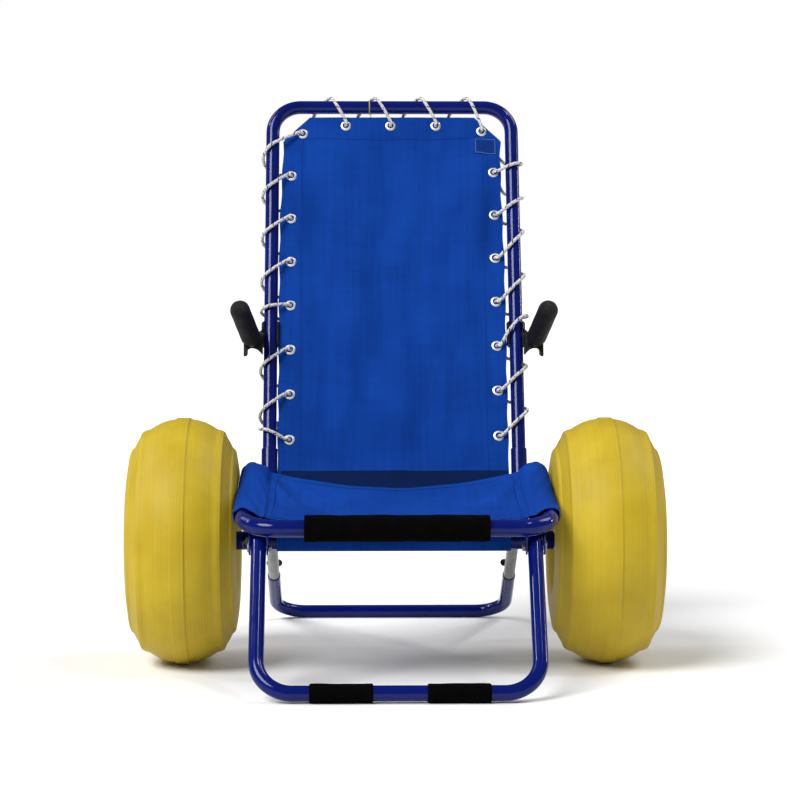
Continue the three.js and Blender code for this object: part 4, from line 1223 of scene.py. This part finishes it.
def handle_bracket(side):
    """The bracket beside the clip as (vertices, faces). It leans back and is arched underneath."""
    outline = [(230, 568), (229.5, 523), (233, 527), (238, 531.5), (244, 534), (250, 534.3), (254, 532.6),
               (256.4, 529.5), (256.8, 521.5), (258, 520.4), (261.6, 520.4), (262.6, 521.6), (262.6, 548),
               (256, 552), (243, 556)]
    front, back, middle = 121, 151, (245, 541)
    vertices = []
    for y, inset in ((front, 0.8), (front + 0.9, 0), (back - 0.9, 0), (back, 0.8)):
        for x, z in outline:
            inward = (Vector(middle) - Vector((x, z))).normalized() * inset
            vertices.append((side * (x + inward.x), y + (z - middle[1]) * 0.3, z + inward.y))
    return vertices, closed_faces(4, len(outline))


def make_grip(name, base, heading, length):
    """A domed rubber grip with a narrower neck."""
    r = GRIP["radius"]
    profile = [(8, 0), (GRIP["neck"], 0), (15.4, 0.8), (16.4, 3), (r, 6)]
    profile += [(r + 0.12 * math.sin(k), 6 + (length - 6) * k / 14) for k in range(1, 15)]
    profile += [(r * math.cos(a), length + r * math.sin(a))
                for a in (math.radians(d) for d in (12, 24, 36, 48, 60, 70, 79, 86))]
    build = Build().add(*lathe(profile, 48), axis_along(base, heading))
    build.make(f"grip_{name}_rubber", GRIP_RUBBER, f"handle_{name}", "grip_rubber", [f"grip_{name}"])


def make_handle(name, side):
    """A spring clip round the hoop, a bracket with a short post, and a domed grip."""
    base, tip = Vector(GRIP["base"]), Vector(GRIP["tip"])
    base.x, tip.x = base.x * side, tip.x * side
    heading = (tip - base).normalized()
    back_local = Matrix.Translation((0, 0, AXLE_Z)) @ Matrix.Rotation(-RECLINE, 4, "X")
    clip_place = back_local @ Matrix.Translation((side * BACK["x"], 0, CLIP["along"]))
    build = Build().add(*handle_clip(), None, clip_place)
    root_y, root_z = back_point(CLIP["along"] - 2)
    build.add(*sweep([(side * (BACK["x"] + 14), root_y, root_z), base - heading * 2], 9, 20))
    collar = [(11, -5), (13.4, -4.4), (14.2, -3), (14.2, -0.4), (12, -0.3)]
    build.add(*lathe(collar, 32), axis_along(base, heading))
    build.add(*handle_bracket(side))
    build.make(f"handle_clip_{name}_moulded", PLASTIC, f"handle_{name}", "black_plastic",
               [f"handle_clip_{name}"], CART, sharp=35)
    make_grip(name, base, heading, (tip - base).length)


def make_thread_tie():
    """A short olive-yellow thread tied round the top bar."""
    x, z, loop = -42, BACK["top"], 12.7
    path = []
    for k in range(33):
        angle = 2 * math.pi * k / 16
        path.append((x + 0.9 * k / 16, loop * math.cos(angle), z + loop * math.sin(angle)))
    path += [(x + 4, 12.6, z - 6), (x + 3, 12.4, z - 14)]
    build = Build().add(*sweep(path, 0.7, 8))
    build.make("thread_tie", TIE, "frame", "pale_cord", space=BACK_SPACE, sharp=80)


# ---- camera, light and floor ------------------------------------------------------------------------


def make_camera():
    """A long lens in front of the cart, level with its back and looking slightly down."""
    distance, aside, height = 4.5, -0.068, 0.706
    data = bpy.data.cameras.new("camera")
    data.lens = 118.8
    data.sensor_width = 36
    data.clip_end = 60
    camera = add_object("camera", data)
    pitch, yaw = math.radians(3.25), 0.0171
    camera.location = (aside, -distance + AXLE_Y / 1000, height)
    camera.rotation_euler = (math.pi / 2 - pitch, 0, -yaw)
    bpy.context.scene.camera = camera


def sun(name, come_from, strength, width):
    """A soft light from far away, as wide as this many degrees."""
    data = bpy.data.lights.new(name, "SUN")
    data.energy = strength
    data.angle = math.radians(width)
    light = add_object(name, data)
    light.rotation_euler = Vector(come_from).to_track_quat("Z", "Y").to_euler()


def make_studio():
    """A world that is white to the camera and dim as a light, three broad suns and three narrow ones."""
    world = bpy.data.worlds.new("studio")
    bpy.context.scene.world = world
    world.use_nodes = True
    tree = world.node_tree
    background = tree.nodes["Background"]
    rays = tree.nodes.new("ShaderNodeLightPath")
    strength = tree.nodes.new("ShaderNodeMapRange")
    strength.inputs["To Min"].default_value = 0.2
    strength.inputs["To Max"].default_value = 1.0
    tree.links.new(rays.outputs["Is Camera Ray"], strength.inputs["Value"])
    background.inputs["Color"].default_value = (1, 1, 1, 1)
    tree.links.new(strength.outputs["Result"], background.inputs["Strength"])
    sun("key", (-0.75, -0.85, 1.1), 3.15, 30)
    sun("rim_right", (0.9, 0.35, 1.0), 0.95, 26)
    sun("rim_left", (-0.9, 0.5, 0.9), 0.5, 26)
    sun("line_left", (-0.78, 0.1, 0.62), 0.34, 5)
    sun("line_right", (0.39, -0.24, 0.88), 0.3, 5)
    sun("line_edge", (0.92, 0.37, 0.3), 0.2, 6)
    make_floor()
    bpy.context.scene.view_settings.view_transform = "Standard"


def make_floor():
    """A plain pale floor."""
    mesh = bpy.data.meshes.new("floor")
    mesh.from_pydata([(-30, -30, 0), (30, -30, 0), (30, 30, 0), (-30, 30, 0)], [], [(0, 1, 2, 3)])
    floor = add_object("floor", mesh)
    mesh.materials.append(Shader("floor", (0.9, 0.9, 0.9), 0.9).material)


# ---- assembly ---------------------------------------------------------------------------------------

make_camera()
make_studio()
make_axle_and_sleeves()
make_back_hoop()
eyelets = make_eyelets()
make_lacing()
panel, on_panel_pieces = make_panel()
make_seat_rail()
make_rail_end_caps()
sling, on_sling_pieces = make_sling()
foam_tube("foam_pad_sleeve", (0, -RAIL_RUN, 0), FOAM_PAD, "seat", "foam_pad", SEAT_SPACE, 1)
make_front_leg()
make_rear_support()
make_bolts()
make_thread_tie()
for side_name, side_sign in SIDES.items():
    make_tyre(side_name, side_sign)
    make_hub(side_name, side_sign)
    make_hub_cap(side_name, side_sign)
    make_pin(side_name, side_sign)
    make_handle(side_name, side_sign)
    repaint(f"stub_axle_{side_name}", ZINC)
    repaint(f"linch_pin_{side_name}", STEEL)
